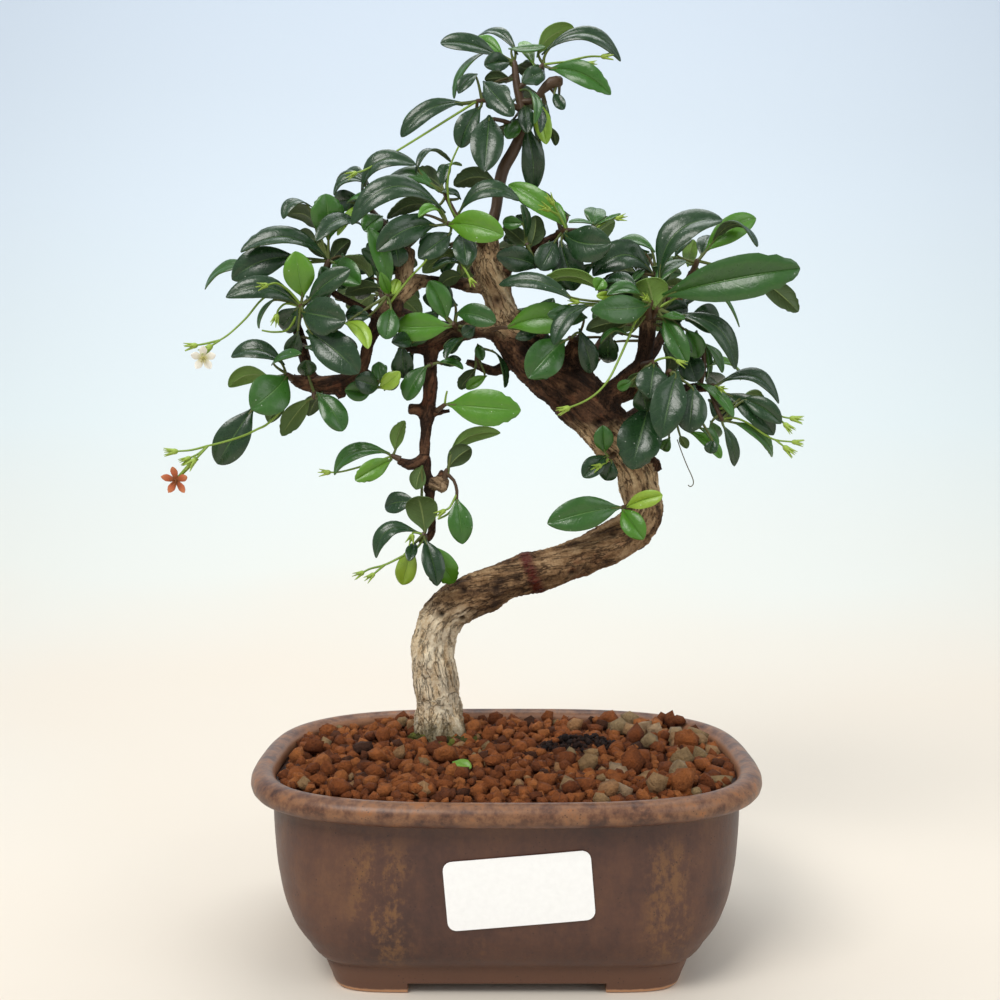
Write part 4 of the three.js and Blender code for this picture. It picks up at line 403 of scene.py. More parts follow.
      [38, 263, 41, 268, 12, 6.5, 0, 2, 0], [30, 257.5, -3, 265.5, 6, 7.5, 30, 0, 0.1],
      [43, 260, 13, 265, 2, 8, 130, 2, 0.14], [37, 257, 20.5, 240, -6, 8.5, 35, 0, 0.12],
      [52, 250, 34, 246.5, 8, 8.5, 150, 0, 0], [44, 246, 43.5, 233, 10, 8.5, 10, 0, 0],
      [53, 243, 40, 240.5, 4, 4.5, 68, 1, 0.26]],
    "stalks": [
      [-12, [[58, 256], [55, 250], [52, 243], [48, 234], [44, 226], [39, 220], [33, 216], [27, 213.6]], True],
      [-4, [[61.5, 258], [60, 259.3]], True],
      [0, [[44, 259.5], [36, 257.5], [31, 258]], True]]},

  {"name": "right_top_stem",
    "stems": [[[62, 252.6, 10, 1.8], [64.3, 255.5, 4, 1.2]]],
    "leaves": [
      [65, 267, 91.5, 293, -3, 15, 35, 0, 0.2], [62.8, 255, 59.5, 268, -8, 15, 165, 2, 0],
      [62.5, 263, 76, 275.5, -4, 7.5, 48, 1, 0.05], [65.3, 260.5, 124.8, 272.3, -24, 17.5, 0, 1, 0.02],
      [64.8, 253, 100, 248, -5, 5, 72, 1, 0.3], [64.5, 254, 77, 255.5, 4, 7.5, 10, 0, 0],
      [65.5, 252, 76, 251, 0, 5.5, 58, 1, 0], [66.5, 251.5, 77, 232, -8, 8.8, 0, 1, 0.02],
      [70, 252.5, 97.5, 229.8, -2, 9.5, 35, 0, 0.18], [76, 250.5, 90.5, 251, 8, 12.5, 10, 0, 0],
      [76, 247, 81.5, 234.7, 3, 8.5, 10, 1, 0.05]],
    "stalks": [[-4, [[66, 255], [74, 261], [81, 263.3], [87, 263]], True]]},

  {"name": "right_far_stem",
    "stems": [[[78.7, 270, 36, 1.5], [81, 275.5, 31, 1.2]]],
    "leaves": [
      [84, 279, 106, 293.5, 0, 10.8, 0, 2, 0.08], [86, 281, 106.5, 281.5, -5, 9.5, 108, 0, 0.3],
      [82.5, 277, 86, 286, 8, 8, 20, 0, 0], [77, 273, 79.3, 284.3, 0, 7, 160, 2, 0],
      [71.5, 277, 78.5, 284.5, 4, 5.5, 55, 0, 0.04], [104, 270, 124, 254, -4, 9.5, 170, 0, 0.02],
      [90, 262, 75, 257, 0, 7, 50, 0, 0.1]],
    "stalks": []},

  {"name": "right_low_front_stem",
    "stems": [[[58.5, 231.5, 14, 1.7], [62.5, 232.8, 3, 1.1]]],
    "leaves": [
      [63, 232, 61, 217.5, -6, 13, 0, 0, 0], [57, 223, 60, 212.5, 7, 10, 0, 0, 0],
      [54, 225, 47.5, 221.7, 4, 4.5, 0, 1, 0], [57, 228.5, 53, 222.3, 4, 5.5, 160, 1, 0]],
    "stalks": [[-1, [[62.5, 232.8], [66, 234.3], [70, 234.7], [72.5, 233.5]], True]]},

  {"name": "right_low_stem",
    "stems": [[[68, 221.8, 21, 1.6], [68, 226, 8, 1.3], [69.5, 229, -2, 1.1]]],
    "leaves": [
      [73, 229, 66.5, 200.5, -8, 14, 0, 0, 0.02], [61, 215, 53.5, 187.3, -12, 18.5, 0, 0, 0],
      [80, 223, 78, 203, -6, 13, 0, 0, 0], [77, 203.5, 92, 192, -4, 5.8, 30, 2, 0.06],
      [82, 205, 90.5, 197, 2, 5.5, 50, 1, 0.04], [88.5, 200, 87, 194, 8, 5.5, 10, 0, 0],
      [70, 201, 66.7, 195.5, 6, 5.5, 0, 1, 0], [74, 201.5, 77.3, 196.2, 4, 4, 160, 1, 0]],
    "stalks": []},

  {"name": "right_side_stem",
    "stems": [
      [[85, 222.2, 20, 1.4], [88.5, 222.8, 17, 1.1]],
      [[82, 222.3, 21, 1.4], [84, 230, 18, 1.1], [83.8, 239, 17, 0.9]],
      [[86.5, 222.4, 18.5, 1.2], [89.5, 214, 14, 1], [92, 208.5, 12, 0.9]]],
    "leaves": [
      [90.5, 223.7, 115.7, 215.2, -2, 9, 48, 0, 0.22], [93, 219.5, 114, 201.8, -6, 10, 10, 0, 0.08],
      [100, 217.5, 117.3, 206.7, 2, 8.5, 10, 0, 0.06], [101, 218.3, 110, 216.3, 8, 4.5, 150, 2, 0.1],
      [86, 217, 96.5, 208.5, 0, 9.5, 10, 0, 0], [80.5, 224, 97, 209.5, -10, 6.5, 48, 1, 0.04],
      [90, 218, 96.5, 212, -4, 5.5, 10, 0, 0], [83.5, 241, 92, 228.3, 2, 5.5, 48, 1, 0.05],
      [84, 240.5, 85, 224.5, -2, 4.5, 58, 1, 0.02], [84, 230.5, 100, 225.3, 4, 5.5, 66, 2, 0.12],
      [84, 229, 91, 223, 9, 8.5, 0, 0, 0], [96, 207.5, 114.2, 192.5, 0, 6, 38, 1, 0.06],
      [92, 206.5, 97.3, 188.7, 4, 5.5, 25, 0, 0.06], [87, 208, 90.5, 200.7, 4, 5.5, 0, 1, 0],
      [76, 237, 81, 224.5, 4, 11, 10, 0, 0]],
    "stalks": [
      [8, [[91, 213], [100, 214], [107, 213.3], [113, 211.7], [118, 209.6], [121, 209.1]], True],
      [7, [[113, 211.7], [118.5, 206.8]], True],
      [8, [[92, 209], [97, 209.2], [103, 207], [110, 202.2], [115, 199.8], [122, 199]], True],
      [8, [[115, 199.8], [118.5, 197]], True], [11, [[88.5, 222.8], [91, 221.8]], True]]},
]

# Leafy stems at the back, where the photo does not show them: a tuft of leaves
# set round a stem's end by a rule, on the branches that reach back.
BACK_STEMS = [
  {"name": "back_left_stem", "end": [-48, 256, 52], "heart": [-54, 263, 62], "count": 8, "reach": 24},
  {"name": "back_centre_stem", "end": [-14, 272, 68], "heart": [-10, 276, 74], "count": 6, "reach": 17},
  {"name": "back_right_stem", "end": [56, 258, 66], "heart": [60, 262, 74], "count": 9, "reach": 25},
  {"name": "back_low_stem", "end": [66, 222, 54], "heart": [68, 225, 61], "count": 7, "reach": 21},
]


class Random:
    """Seeded random numbers, the same as the solids were laid out with."""

    WORD = 0xFFFFFFFF
    STEP = 0x6D2B79F5

    def __init__(self, seed):
        self.state = seed

    def __call__(self):
        self.state = (self.state + self.STEP) & self.WORD
        mixed = (self.state ^ (self.state >> 15)) * (self.state | 1) & self.WORD
        mixed ^= (mixed + (mixed ^ (mixed >> 7)) * (mixed | 61)) & self.WORD
        return ((mixed ^ (mixed >> 14)) & self.WORD) / (self.WORD + 1)

    def between(self, low, high):
        return low + (high - low) * self()


def mix(a, b, share):
    return a + (b - a) * share


def clamp(value, low=0.0, high=1.0):
    return max(low, min(high, value))


def smoothstep(low, high, value):
    t = clamp((value - low) / (high - low))
    return t * t * (3 - 2 * t)


def along_table(table, place):
    """A value read from rows of (place, value), straight between them."""
    for (p0, v0), (p1, v1) in zip(table, table[1:]):
        if place <= p1:
            return mix(v0, v1, clamp((place - p0) / (p1 - p0)))
    return table[-1][1]


def eased(before, here, there, after, t):
    """A value on the smooth curve from here to there, led by the values before and after them."""
    bend = 2 * before - 5 * here + 4 * there - after
    twist = 3 * here - before - 3 * there + after
    return 0.5 * (2 * here + (there - before) * t + bend * t * t + twist * t ** 3)


def eased_rows(rows, steps_between):
    """The rows with eased ones between them: steps_between says how many steps lead to the next."""
    made = []
    for i in range(len(rows) - 1):
        around = [rows[clamp(k, 0, len(rows) - 1)] for k in (i - 1, i, i + 1, i + 2)]
        count = steps_between(around[1], around[2])
        made += [tuple(eased(*values, k / count) for values in zip(*around)) for k in range(count)]
    return made + [tuple(rows[-1])]


# Objects

def deselect():
    bpy.ops.object.select_all(action="DESELECT")


def activate(piece):
    deselect()
    piece.select_set(True)
    bpy.context.view_layer.objects.active = piece


def new_object(name, data):
    piece = bpy.data.objects.new(name, data)
    bpy.context.scene.collection.objects.link(piece)
    return piece


def apply_modifier(piece, kind, **settings):
    activate(piece)
    modifier = piece.modifiers.new(kind.title(), kind)
    for name, value in settings.items():
        setattr(modifier, name, value)
    bpy.ops.object.modifier_apply(modifier=modifier.name)


def join(name, parts):
    deselect()
    for part in parts:
        part.select_set(True)
    bpy.context.view_layer.objects.active = parts[0]
    bpy.ops.object.join()
    parts[0].name = name
    parts[0].data.name = name
    return parts[0]


def paint(piece, *names):
    """Gives a piece these materials and no others."""
    piece.data.materials.clear()
    for name in names:
        piece.data.materials.append(materials[name])


def smooth(piece, degrees):
    """Smooth shading, but for edges sharper than an angle."""
    activate(piece)
    bpy.ops.object.shade_smooth_by_angle(angle=math.radians(degrees), keep_sharp_edges=False)


def set_values(mesh, name, value):
    """Gives every corner point of a mesh the same value, or its own, under a name."""
    attribute = mesh.attributes.get(name) or mesh.attributes.new(name, "FLOAT", "POINT")
    count = len(mesh.vertices)
    attribute.data.foreach_set("value", value if hasattr(value, "__len__") else [value] * count)


def place_points(mesh, points):
    mesh.vertices.foreach_set("co", [c for point in points for c in point])
    mesh.update()


def finish_piece(piece, degrees, slot, *nodes):
    """Smooths a piece, sets it on the one body, and hides the solids it stands for. The slot is not used."""
    smooth(piece, degrees)
    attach(piece, "root")
    if nodes:
        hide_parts(*nodes)


# Leaf layout, the same rule as the solids

BLADE_OUTLINE = [
    (0, 0.05), (0.12, 0.16), (0.3, 0.6), (0.5, 0.9), (0.65, 1), (0.8, 0.92), (0.92, 0.62), (1, 0.02)]
LEAF_SPACING = 3
TIP_SHIFTS = [0, -4, 4, -8, 8, -12, 12]
STEPS_TO_A_STRETCH = 5
WOOD_CLEARANCE = 0.9
# A leaf springs from the nearest place on its stem, but a place near the stem's root, or beside
# another leaf, counts as so many millimetres further off
ROOT_COST = 6
CROWDED_REACH = 1.4
CROWDED_COST = 0.8
# Leaves keep clear of the wood and of stems from this radius
THICK_STEM = 1.5


def bones_of(courses):
    """Straight stretches of courses: start, end, radius, middle and the reach about the middle."""
    bones = []
    for course in courses:
        for here, there in zip(course, course[1:]):
            start, end = seen(*here[:3]), seen(*there[:3])
            radius = max(here[3], there[3])
            bones.append((start, end, radius, (start + end) / 2, (end - start).length / 2 + radius))
    return bones


def bone_distance(point, bone):
    start, end, radius = bone[:3]
    span = end - start
    t = clamp((point - start).dot(span) / span.length_squared)
    return (point - start - span * t).length - radius


def free_places(stems, wood_bones):
    """Places along a node's stems that stand clear of the wood, where leaves can spring."""
    places = []
    for stem in stems:
        for i, (here, there) in enumerate(zip(stem, stem[1:])):
            for k in range(STEPS_TO_A_STRETCH + 1):
                share = k / STEPS_TO_A_STRETCH
                x, z, y, radius = (mix(a, b, share) for a, b in zip(here, there))
                point = seen(x, z, y)
                gap = min(bone_distance(point, bone) for bone in wood_bones)
                progress = (i + share) / (len(stem) - 1)
                places.append({"x": x, "z": z, "y": y, "radius": radius, "point": point,
                               "gap": gap, "taken": (1 - progress) * ROOT_COST})
    free = [place for place in places if place["gap"] > WOOD_CLEARANCE]
    return free or [max(places, key=lambda place: place["gap"])]


class Leaf:
    """Where a leaf lies: its base, its tip and the way its upper side faces. Its rib rises by a
    tenth of its length on the way, and leans sideways too where a lean is given."""

    RISE = 0.1

    def __init__(self, base, tip, normal, width, age, lean=Vector()):
        self.base, self.tip, self.normal = base, tip, normal
        self.width, self.age = width, age
        self.length = (tip - base).length
        self.across = (tip - base).normalized().cross(normal).normalized()
        self.bulge = normal * self.RISE * self.length + lean

    def centre(self, t):
        """A place on the rib, 0 at the base and 1 at the tip."""
        return self.base.lerp(self.tip, t) + self.bulge * 4 * t * (1 - t)


class StemLeaf(Leaf):
    """A leaf as its row lays it, its foot on the nearest free place of its stem."""

    def __init__(self, places, row, shift):
        base_x, base_z, tip_x, tip_z, tip_depth, width, facing, age, bow = row
        self.root = min(places, key=lambda p: math.hypot(p["x"] - base_x, p["z"] - base_z) + p["taken"])
        base = seen(base_x, base_z, self.root["y"])
        tip = seen(tip_x, tip_z, self.root["y"] + tip_depth + shift)
        along = (tip - base).normalized()
        to_viewer = (EYE - (base + tip) / 2).normalized()
        to_viewer = (to_viewer - along * to_viewer.dot(along)).normalized()
        sideways = along.cross(to_viewer)
        if sideways.z < -0.001 or (abs(sideways.z) <= 0.001 and sideways.x < 0):
            sideways = -sideways
        angle = math.radians(facing)
        normal = to_viewer * math.cos(angle) + sideways * math.sin(angle)
        super().__init__(base, tip, normal, width, age, sideways * bow * (tip - base).length)
        outward = base.lerp(tip, 0.3) - self.root["point"]
        self.foot = self.root["point"] + outward.normalized() * self.root["radius"] * 0.5


def leaf_samples(leaf):
    """Points on a blade's rib and near both its edges, from a third of its length to the tip."""
    samples = []
    for i in range(7):
        t = 0.34 + i * 0.107
        half = 0.5 * leaf.width * along_table(BLADE_OUTLINE, t)
        samples += [leaf.centre(t) + leaf.across * (s * half) for s in (-0.8, 0, 0.8)]
    return samples


def sphere_round(points):
    low = Vector(min(p[i] for p in points) for i in range(3))
    high = Vector(max(p[i] for p in points) for i in range(3))
    centre = (low + high) / 2
    return centre, max((p - centre).length for p in points)


def closest_approach(samples, sphere, placed, bones):
    """How near a leaf comes to the leaves already placed and to the wood."""
    nearest = math.inf
    centre, radius = sphere
    for other_samples, (other_centre, other_radius) in placed:
        if (other_centre - centre).length < other_radius + radius + LEAF_SPACING:
            nearest = min(nearest, min((a - b).length for a in samples for b in other_samples))
    for bone in bones:
        middle, reach = bone[3:]
        if (middle - centre).length < reach + radius + LEAF_SPACING:
            nearest = min(nearest, min(bone_distance(p, bone) for p in samples) + LEAF_SPACING * 0.6)
    return nearest


def back_sprays():
    """The tufts at the back, each with its leaves turned round its heart."""
    random = Random(23)
    made = []
    for row in BACK_STEMS:
        end, heart = row["end"], row["heart"]
        leaves = []
        for k in range(row["count"]):
            turn = (k / row["count"]) * math.tau + (random() - 0.5) * 0.5
            spread = row["reach"] * (0.72 + random() * 0.28)
            depth = (random() - 0.25) * 26
            width = 9 + random() * 4
            leaves.append([
                heart[0] + math.cos(turn) * 2.5, heart[1] + math.sin(turn) * 2.5,
                heart[0] + math.cos(turn) * spread, heart[1] + math.sin(turn) * spread * 0.85,
                depth, width, 120 if math.sin(turn) > -0.2 else 170, math.floor(random() * 2), 0.1])
        stems = [[[end[0], end[1], end[2] - 1, 1.7], [*heart, 1.1]]]
        made.append({"name": row["name"], "stems": stems, "leaves": leaves, "stalks": []})
    return made


def stalk_courses(spray, places):
    """Each stalk's points in depth, from the stem or from the earlier stalk that it forks from."""
    joints = {}
    courses = []
    for tip_depth, points, *bud in spray["stalks"]:
        x0, z0 = points[0]
        nearest = min(places, key=lambda p: math.hypot(p["x"] - x0, p["z"] - z0))
        root = joints.get((x0, z0), (nearest["x"], nearest["z"], nearest["y"]))
        last = len(points) - 1
        course = []
        for i, (x, z) in enumerate(points):
            joint = root if i == 0 else (x, z, mix(root[2], tip_depth, i / last))
            joints[(x, z)] = joint
            course.append(seen(*joint))
        courses.append((course, bool(bud)))
    return courses


def lay_out(sprays):
    """Each spray's leaves and stalks; a leaf that comes too near a neighbour moves its tip in depth."""
    placed = []
    wood_bones = bones_of(LIMBS)
    stem_bones = bones_of([stem for spray in sprays for stem in spray["stems"]])
    bones = wood_bones + [bone for bone in stem_bones if bone[2] >= THICK_STEM]
    layouts = []
    for spray in sprays:
        places = free_places(spray["stems"], wood_bones)
        courses = stalk_courses(spray, places)
        leaves = []
        for row in spray["leaves"]:
            best = None
            for shift in TIP_SHIFTS:
                leaf = StemLeaf(places, row, shift)
                samples = leaf_samples(leaf)
                sphere = sphere_round(samples)
                nearest = closest_approach(samples, sphere, placed, bones)
                if best is None or nearest > best[0] + 0.01:
                    best = (nearest, leaf, samples, sphere)
                if nearest >= LEAF_SPACING:
                    break
            placed.append(best[2:])
            leaf = best[1]
            for place in places:
                if (place["point"] - leaf.root["point"]).length < CROWDED_REACH:
                    place["taken"] += CROWDED_COST
            leaves.append(leaf)
        layouts.append((spray, leaves, courses))
    return layouts


# Materials

class Number:
    """A number that a node gives out. Sums written on it add Math nodes."""

    def __init__(self, finish, socket):
        self.finish = finish
        self.socket = socket

    def sum_of(self, operation, *values):
        return self.finish.node("ShaderNodeMath", {"operation": operation}, dict(enumerate(values)))

    def __add__(self, other):
        return self.sum_of("ADD", self, other)

    def __sub__(self, other):
        return self.sum_of("SUBTRACT", self, other)

    def __rsub__(self, other):
        return self.sum_of("SUBTRACT", other, self)

    def __mul__(self, other):
        return self.sum_of("MULTIPLY", self, other)

    def __truediv__(self, other):
        return self.sum_of("DIVIDE", self, other)

    def __abs__(self):
        return self.sum_of("ABSOLUTE", self)

    def fraction(self):
        return self.sum_of("FRACT", self)

    __radd__ = __add__


def srgb(red, green, blue):
    """A colour as the eye names it, 0 to 255, as the light it gives back."""
    shares = (level / 255 for level in (red, green, blue))
    return tuple(c / 12.92 if c <= 0.04 else ((c + 0.055) / 1.055) ** 2.4 for c in shares)


class Finish:
    """One material, and the maker of its nodes."""

    def __init__(self, name, gloss):
        self.material = bpy.data.materials.new(name)
        self.material.use_nodes = True
        self.tree = self.material.node_tree
        self.tree.nodes.clear()
        self.shader = self.tree.nodes.new("ShaderNodeBsdfPrincipled")
        self.shader.inputs["Specular IOR Level"].default_value = gloss
        output = self.tree.nodes.new("ShaderNodeOutputMaterial")
        self.tree.links.new(self.shader.outputs[0], output.inputs[0])

    def node(self, kind, settings=None, inputs=None, output=0):
        """A node of any kind: its settings first, then the values or links of its sockets."""
        made = self.tree.nodes.new(kind)
        for name, value in (settings or {}).items():
            if name == "stops":
                ramp = made.color_ramp
                while len(ramp.elements) < len(value):
                    ramp.elements.new(0.5)
                for stop, (place, colour) in zip(ramp.elements, value):
                    stop.position = place
                    stop.color = (*colour, 1)
            else:
                setattr(made, name, value)
        for name, value in (inputs or {}).items():
            self.feed(made.inputs[name], value)
        return Number(self, made.outputs[output])

    def feed(self, socket, value):
        if isinstance(value, Number):
            self.tree.links.new(value.socket, socket)
        elif isinstance(value, tuple) and len(value) == 3 and socket.type == "RGBA":
            socket.default_value = (*value, 1)
        else:
            socket.default_value = value

    def surface(self, **sockets):
        for name, value in sockets.items():
            self.feed(self.shader.inputs[name.replace("_", " ").title()], value)

    def place(self, stretch=(1, 1, 1)):
        """The place on the piece, in metres, stretched for a pattern that runs one way."""
        where = self.node("ShaderNodeTexCoord", output=3)
        return self.node("ShaderNodeMapping", inputs={"Vector": where, "Scale": stretch})

    def axis(self, index):
        return self.node("ShaderNodeSeparateXYZ", inputs={0: self.place()}, output=index)

    def value(self, name):
        return self.node("ShaderNodeAttribute", {"attribute_name": name}, output=2)

    def vector(self, name):
        return self.node("ShaderNodeAttribute", {"attribute_name": name}, output=1)

    def noise(self, scale, detail=4, roughness=0.55, stretch=(1, 1, 1), where=None):
        inputs = {"Vector": where or self.place(stretch), "Scale": scale, "Detail": detail,
                  "Roughness": roughness}
        return self.node("ShaderNodeTexNoise", inputs=inputs)

    def cells(self, scale):
        return self.node("ShaderNodeTexVoronoi", inputs={"Vector": self.place(), "Scale": scale})

    def step(self, number, low, high):
        """0 below low, 1 above high, eased between; or the other way round if low is above high."""
        inputs = {"Value": number, "From Min": low, "From Max": high}
        return self.node("ShaderNodeMapRange", {"interpolation_type": "SMOOTHSTEP"}, inputs)

    def ramp(self, number, *rows):
        """Colours along a number, from rows of (place, red, green, blue)."""
        return self.tints(number, *((place, srgb(*colour)) for place, *colour in rows))

    def tints(self, number, *stops):
        """The same from stops of (place, light given back), which may pass 1."""
        return self.node("ShaderNodeValToRGB", {"stops": stops}, {0: number})

    def blend(self, first, second, share, how="MIX"):
        settings = {"data_type": "RGBA", "blend_type": how}
        return self.node("ShaderNodeMix", settings, {0: share, 6: first, 7: second}, output=2)

    def relief(self, height, distance, strength=1.0):
        inputs = {"Height": height, "Distance": distance, "Strength": strength}
        self.surface(normal=self.node("ShaderNodeBump", inputs=inputs))


def glaze_finish():
    """Satin stoneware glaze: purple-brown walls with ochre runs, a tan rim and bare clay at the feet."""
    finish = Finish("stoneware_glaze", gloss=0.45)
    x, height = finish.axis(0), finish.axis(2)
    broad = finish.noise(22, 3, 0.6)
    runs = finish.noise(120, 6, 0.7, stretch=(1, 1, 0.36))
    fine = finish.noise(420, 5, 0.65)
    brown = finish.ramp(
        broad * 0.5 + runs * 0.3 + fine * 0.2,
        (0.36, 56, 36, 31), (0.47, 74, 47, 38), (0.56, 87, 56, 42), (0.68, 104, 70, 48))
    # Ochre runs on the front at the left, at the right and low in the middle, and some on the sides
    left = finish.step(abs(x - (pot_centre.x - 0.0446)), 0.015, 0.004)
    right = finish.step(abs(x - (pot_centre.x + 0.057)), 0.012, 0.003)
    middle = finish.step(abs(x - (pot_centre.x - 0.0112)), 0.005, 0.001) * finish.step(height, 0.03, 0.022)
    off_front = finish.step(finish.axis(1), pot_centre.y - 0.056, pot_centre.y - 0.03)
    sides = finish.step(finish.noise(16, 2, 0.5), 0.52, 0.66) * off_front
    low_down = finish.step(height, 0.064, 0.048) * finish.step(height, 0.006, 0.02)
    streaks = finish.step(runs * 0.6 + fine * 0.4, 0.46, 0.6)
    ochre_share = (left * 0.8 + right * 0.7 + middle * 0.4 + sides * 0.35) * streaks * low_down
    walls = finish.blend(brown, srgb(120, 83, 48), ochre_share)
    # Warmer near the foot, mottled tan on the rim, and lighter inside
    near_foot = finish.step(height + broad * 0.006, 0.019, 0.009)
    walls = finish.blend(walls, srgb(104, 70, 52), near_foot * 0.75)
    mottle = finish.noise(120, 5, 0.68)
    tan = finish.ramp(
        mottle * 0.7 + fine * 0.3,
        (0.36, 60, 37, 28), (0.45, 97, 63, 44), (0.55, 128, 89, 61), (0.68, 150, 93, 47))
    edge = (mottle + finish.noise(40, 2, 0.5)) * 0.0036
    at_rim = finish.step(height + edge, 0.0685, 0.0735)
    colour = finish.blend(walls, tan, at_rim)
    colour = finish.blend(colour, srgb(152, 108, 80), finish.value("inner") * 0.8)
    dark_specks = finish.step(finish.cells(620), 0.22, 0.12) * finish.step(finish.noise(120), 0.48, 0.6)
    colour = finish.blend(colour, srgb(40, 29, 27), dark_specks * 0.65)
    clay_line = finish.step(height + finish.noise(260) * 0.001, 0.0022, 0.0014)
    colour = finish.blend(colour, srgb(196, 148, 112), clay_line)
    finish.surface(base_color=colour, roughness=0.36 + fine * 0.2 + clay_line * 0.3 - at_rim * 0.04)
    finish.relief(broad * 0.6 + finish.noise(240, 4, 0.6) * 0.3 + fine * 0.12, 0.0007, 0.6)
    return finish.material


def soil_finish():
    """Baked clay granules: the tone runs from dark peat over red-brown to tan and olive pebbles."""
    finish = Finish("soil_granules", gloss=0.3)
    tone = finish.value("tone")
    grain = finish.noise(900, 5, 0.7)
    patches = finish.noise(260, 4, 0.6)
    colour = finish.ramp(
        tone,
        (0.0, 32, 23, 23), (0.16, 70, 43, 29), (0.34, 122, 65, 30), (0.5, 154, 87, 42),
        (0.64, 176, 108, 57), (0.78, 168, 130, 90), (0.9, 148, 124, 86), (1.0, 176, 146, 112))
    shade = finish.tints(
        patches * 0.6 + grain * 0.4,
        (0.3, (0.5, 0.46, 0.44)), (0.52, (0.95, 0.95, 0.95)), (0.72, (1.3, 1.24, 1.14)))
    colour = finish.blend(colour, shade, 1.0, "MULTIPLY")
    finish.surface(base_color=colour, roughness=0.95 - finish.step(tone, 0.84, 0.96) * 0.3)
    finish.relief(grain * 0.8 + patches, 0.0026)
    return finish.material


def bed_finish():
    """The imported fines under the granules."""
    finish = Finish("packed_bed", gloss=0.2)
    crumbs = finish.noise(650, 5, 0.7)
    colour = finish.ramp(crumbs, (0.36, 50, 30, 22), (0.5, 88, 50, 32), (0.64, 126, 76, 46))
    finish.surface(base_color=colour, roughness=0.95)
    finish.relief(crumbs, 0.002)
    return finish.material


def bark_finish():
    """Fissured bark, its grain along each limb: cream on the old foot, brown on the slant, tan and
    smoother high up, and near black where the thick limbs part. That band is dark partly in the
    bark's own colour and partly as painted shade under the crown."""
    finish = Finish("bark", gloss=0.22)
    grain = finish.vector("grain")
    strands = finish.noise(230, 6, 0.66, where=grain)
    splits = finish.noise(330, 4, 0.6, where=grain)
    crumbs = finish.noise(1000, 5, 0.7)
    blotches = finish.noise(130, 4, 0.62)
    broad = finish.noise(60, 3, 0.6)
    fissures = finish.step(abs(splits - 0.5), 0.035, 0.0) * finish.step(strands, 0.62, 0.5)
    mixed = strands * 0.46 + crumbs * 0.2 + blotches * 0.34
    cream = finish.ramp(
        strands * 0.5 + crumbs * 0.3 + blotches * 0.2,
        (0.34, 108, 82, 58), (0.41, 172, 144, 108), (0.47, 212, 188, 152), (0.56, 236, 222, 194))
    brown = finish.ramp(
        mixed,
        (0.37, 42, 29, 21), (0.44, 86, 63, 43), (0.51, 128, 99, 69), (0.6, 168, 140, 106))
    tan = finish.ramp(
        mixed,
        (0.36, 108, 82, 58), (0.45, 166, 136, 101), (0.54, 203, 176, 137), (0.63, 224, 205, 172))
    # Dark brown of the thin limbs; laid on the fork below, it also stands for painted shade
    dark = finish.ramp(
        mixed,
        (0.38, 27, 18, 13), (0.47, 54, 36, 25), (0.55, 88, 61, 43), (0.66, 136, 102, 74))
    # Up the trunk, with an uneven edge from each bark to the next
    height = finish.axis(2) + (broad - 0.5) * 0.02
    old_foot = finish.step(height, 0.133, 0.115)
    trunk = finish.blend(brown, cream, old_foot)
    trunk = finish.blend(trunk, tan, finish.step(height, 0.166, 0.177) * 0.9)
    # Painted shade over the bark's own dark brown: from 200 to 250 mm up, where the thick limbs part under
    # the crown, the trunk takes the near black bark
    trunk = finish.blend(trunk, dark, finish.step(height, 0.2, 0.208) * finish.step(height, 0.25, 0.241))
    colour = finish.blend(dark, trunk, finish.step(finish.value("girth"), 0.28, 0.62))
    # Over all of it: rusty blotches, dark cracks, the red ring, the knots' cores and moss at the soil;
    # the cracks and the cores are dark partly in their own colour and partly as painted shade.
    rusty = finish.step(blotches * 0.5 + broad * 0.5, 0.55, 0.62) * finish.step(height, 0.126, 0.14)
    colour = finish.blend(colour, srgb(104, 58, 38), rusty * 0.45)
    # Painted shade in part: the cracks, sunk by the relief below, are painted dark brown, partly as the
    # darker inner bark
    colour = finish.blend(colour, srgb(58, 41, 29), fissures * (0.7 - old_foot * 0.2))
    colour = finish.blend(colour, srgb(80, 22, 12), finish.value("sap"))
    # Painted shade in part: the knots' cores, sunk by the knots' relief, are painted near black, partly as
    # the old wood's own dark
    colour = finish.blend(colour, srgb(34, 23, 19), finish.value("hollow"))
    at_soil = finish.step(height + crumbs * 0.008, 0.088, 0.076)
    colour = finish.blend(colour, srgb(72, 66, 36), at_soil * 0.75)
    finish.surface(base_color=colour, roughness=0.84 - finish.value("sap") * 0.4)
    finish.relief(strands * 0.8 + crumbs * 0.3 - fissures * 0.7, 0.0014, 0.9)
    return finish.material


VEINS_TO_A_BLADE = 6.3
VEIN_SLANT = 1.3
VEIN_WANDER = 0.35


def rib_and_veins(finish, mottle, rib_sides, rib_ends, vein_width):
    """The rib and the side veins of a blade: each 1 on its line and 0 beside it."""
    side, along = abs(finish.value("across")), finish.value("along")
    rib = finish.step(side, *rib_sides) * finish.step(along, *rib_ends)
    bend = along * VEINS_TO_A_BLADE - side * VEIN_SLANT + mottle * VEIN_WANDER
    return rib, finish.step(abs(bend.fraction() - 0.5), vein_width, 0.0)


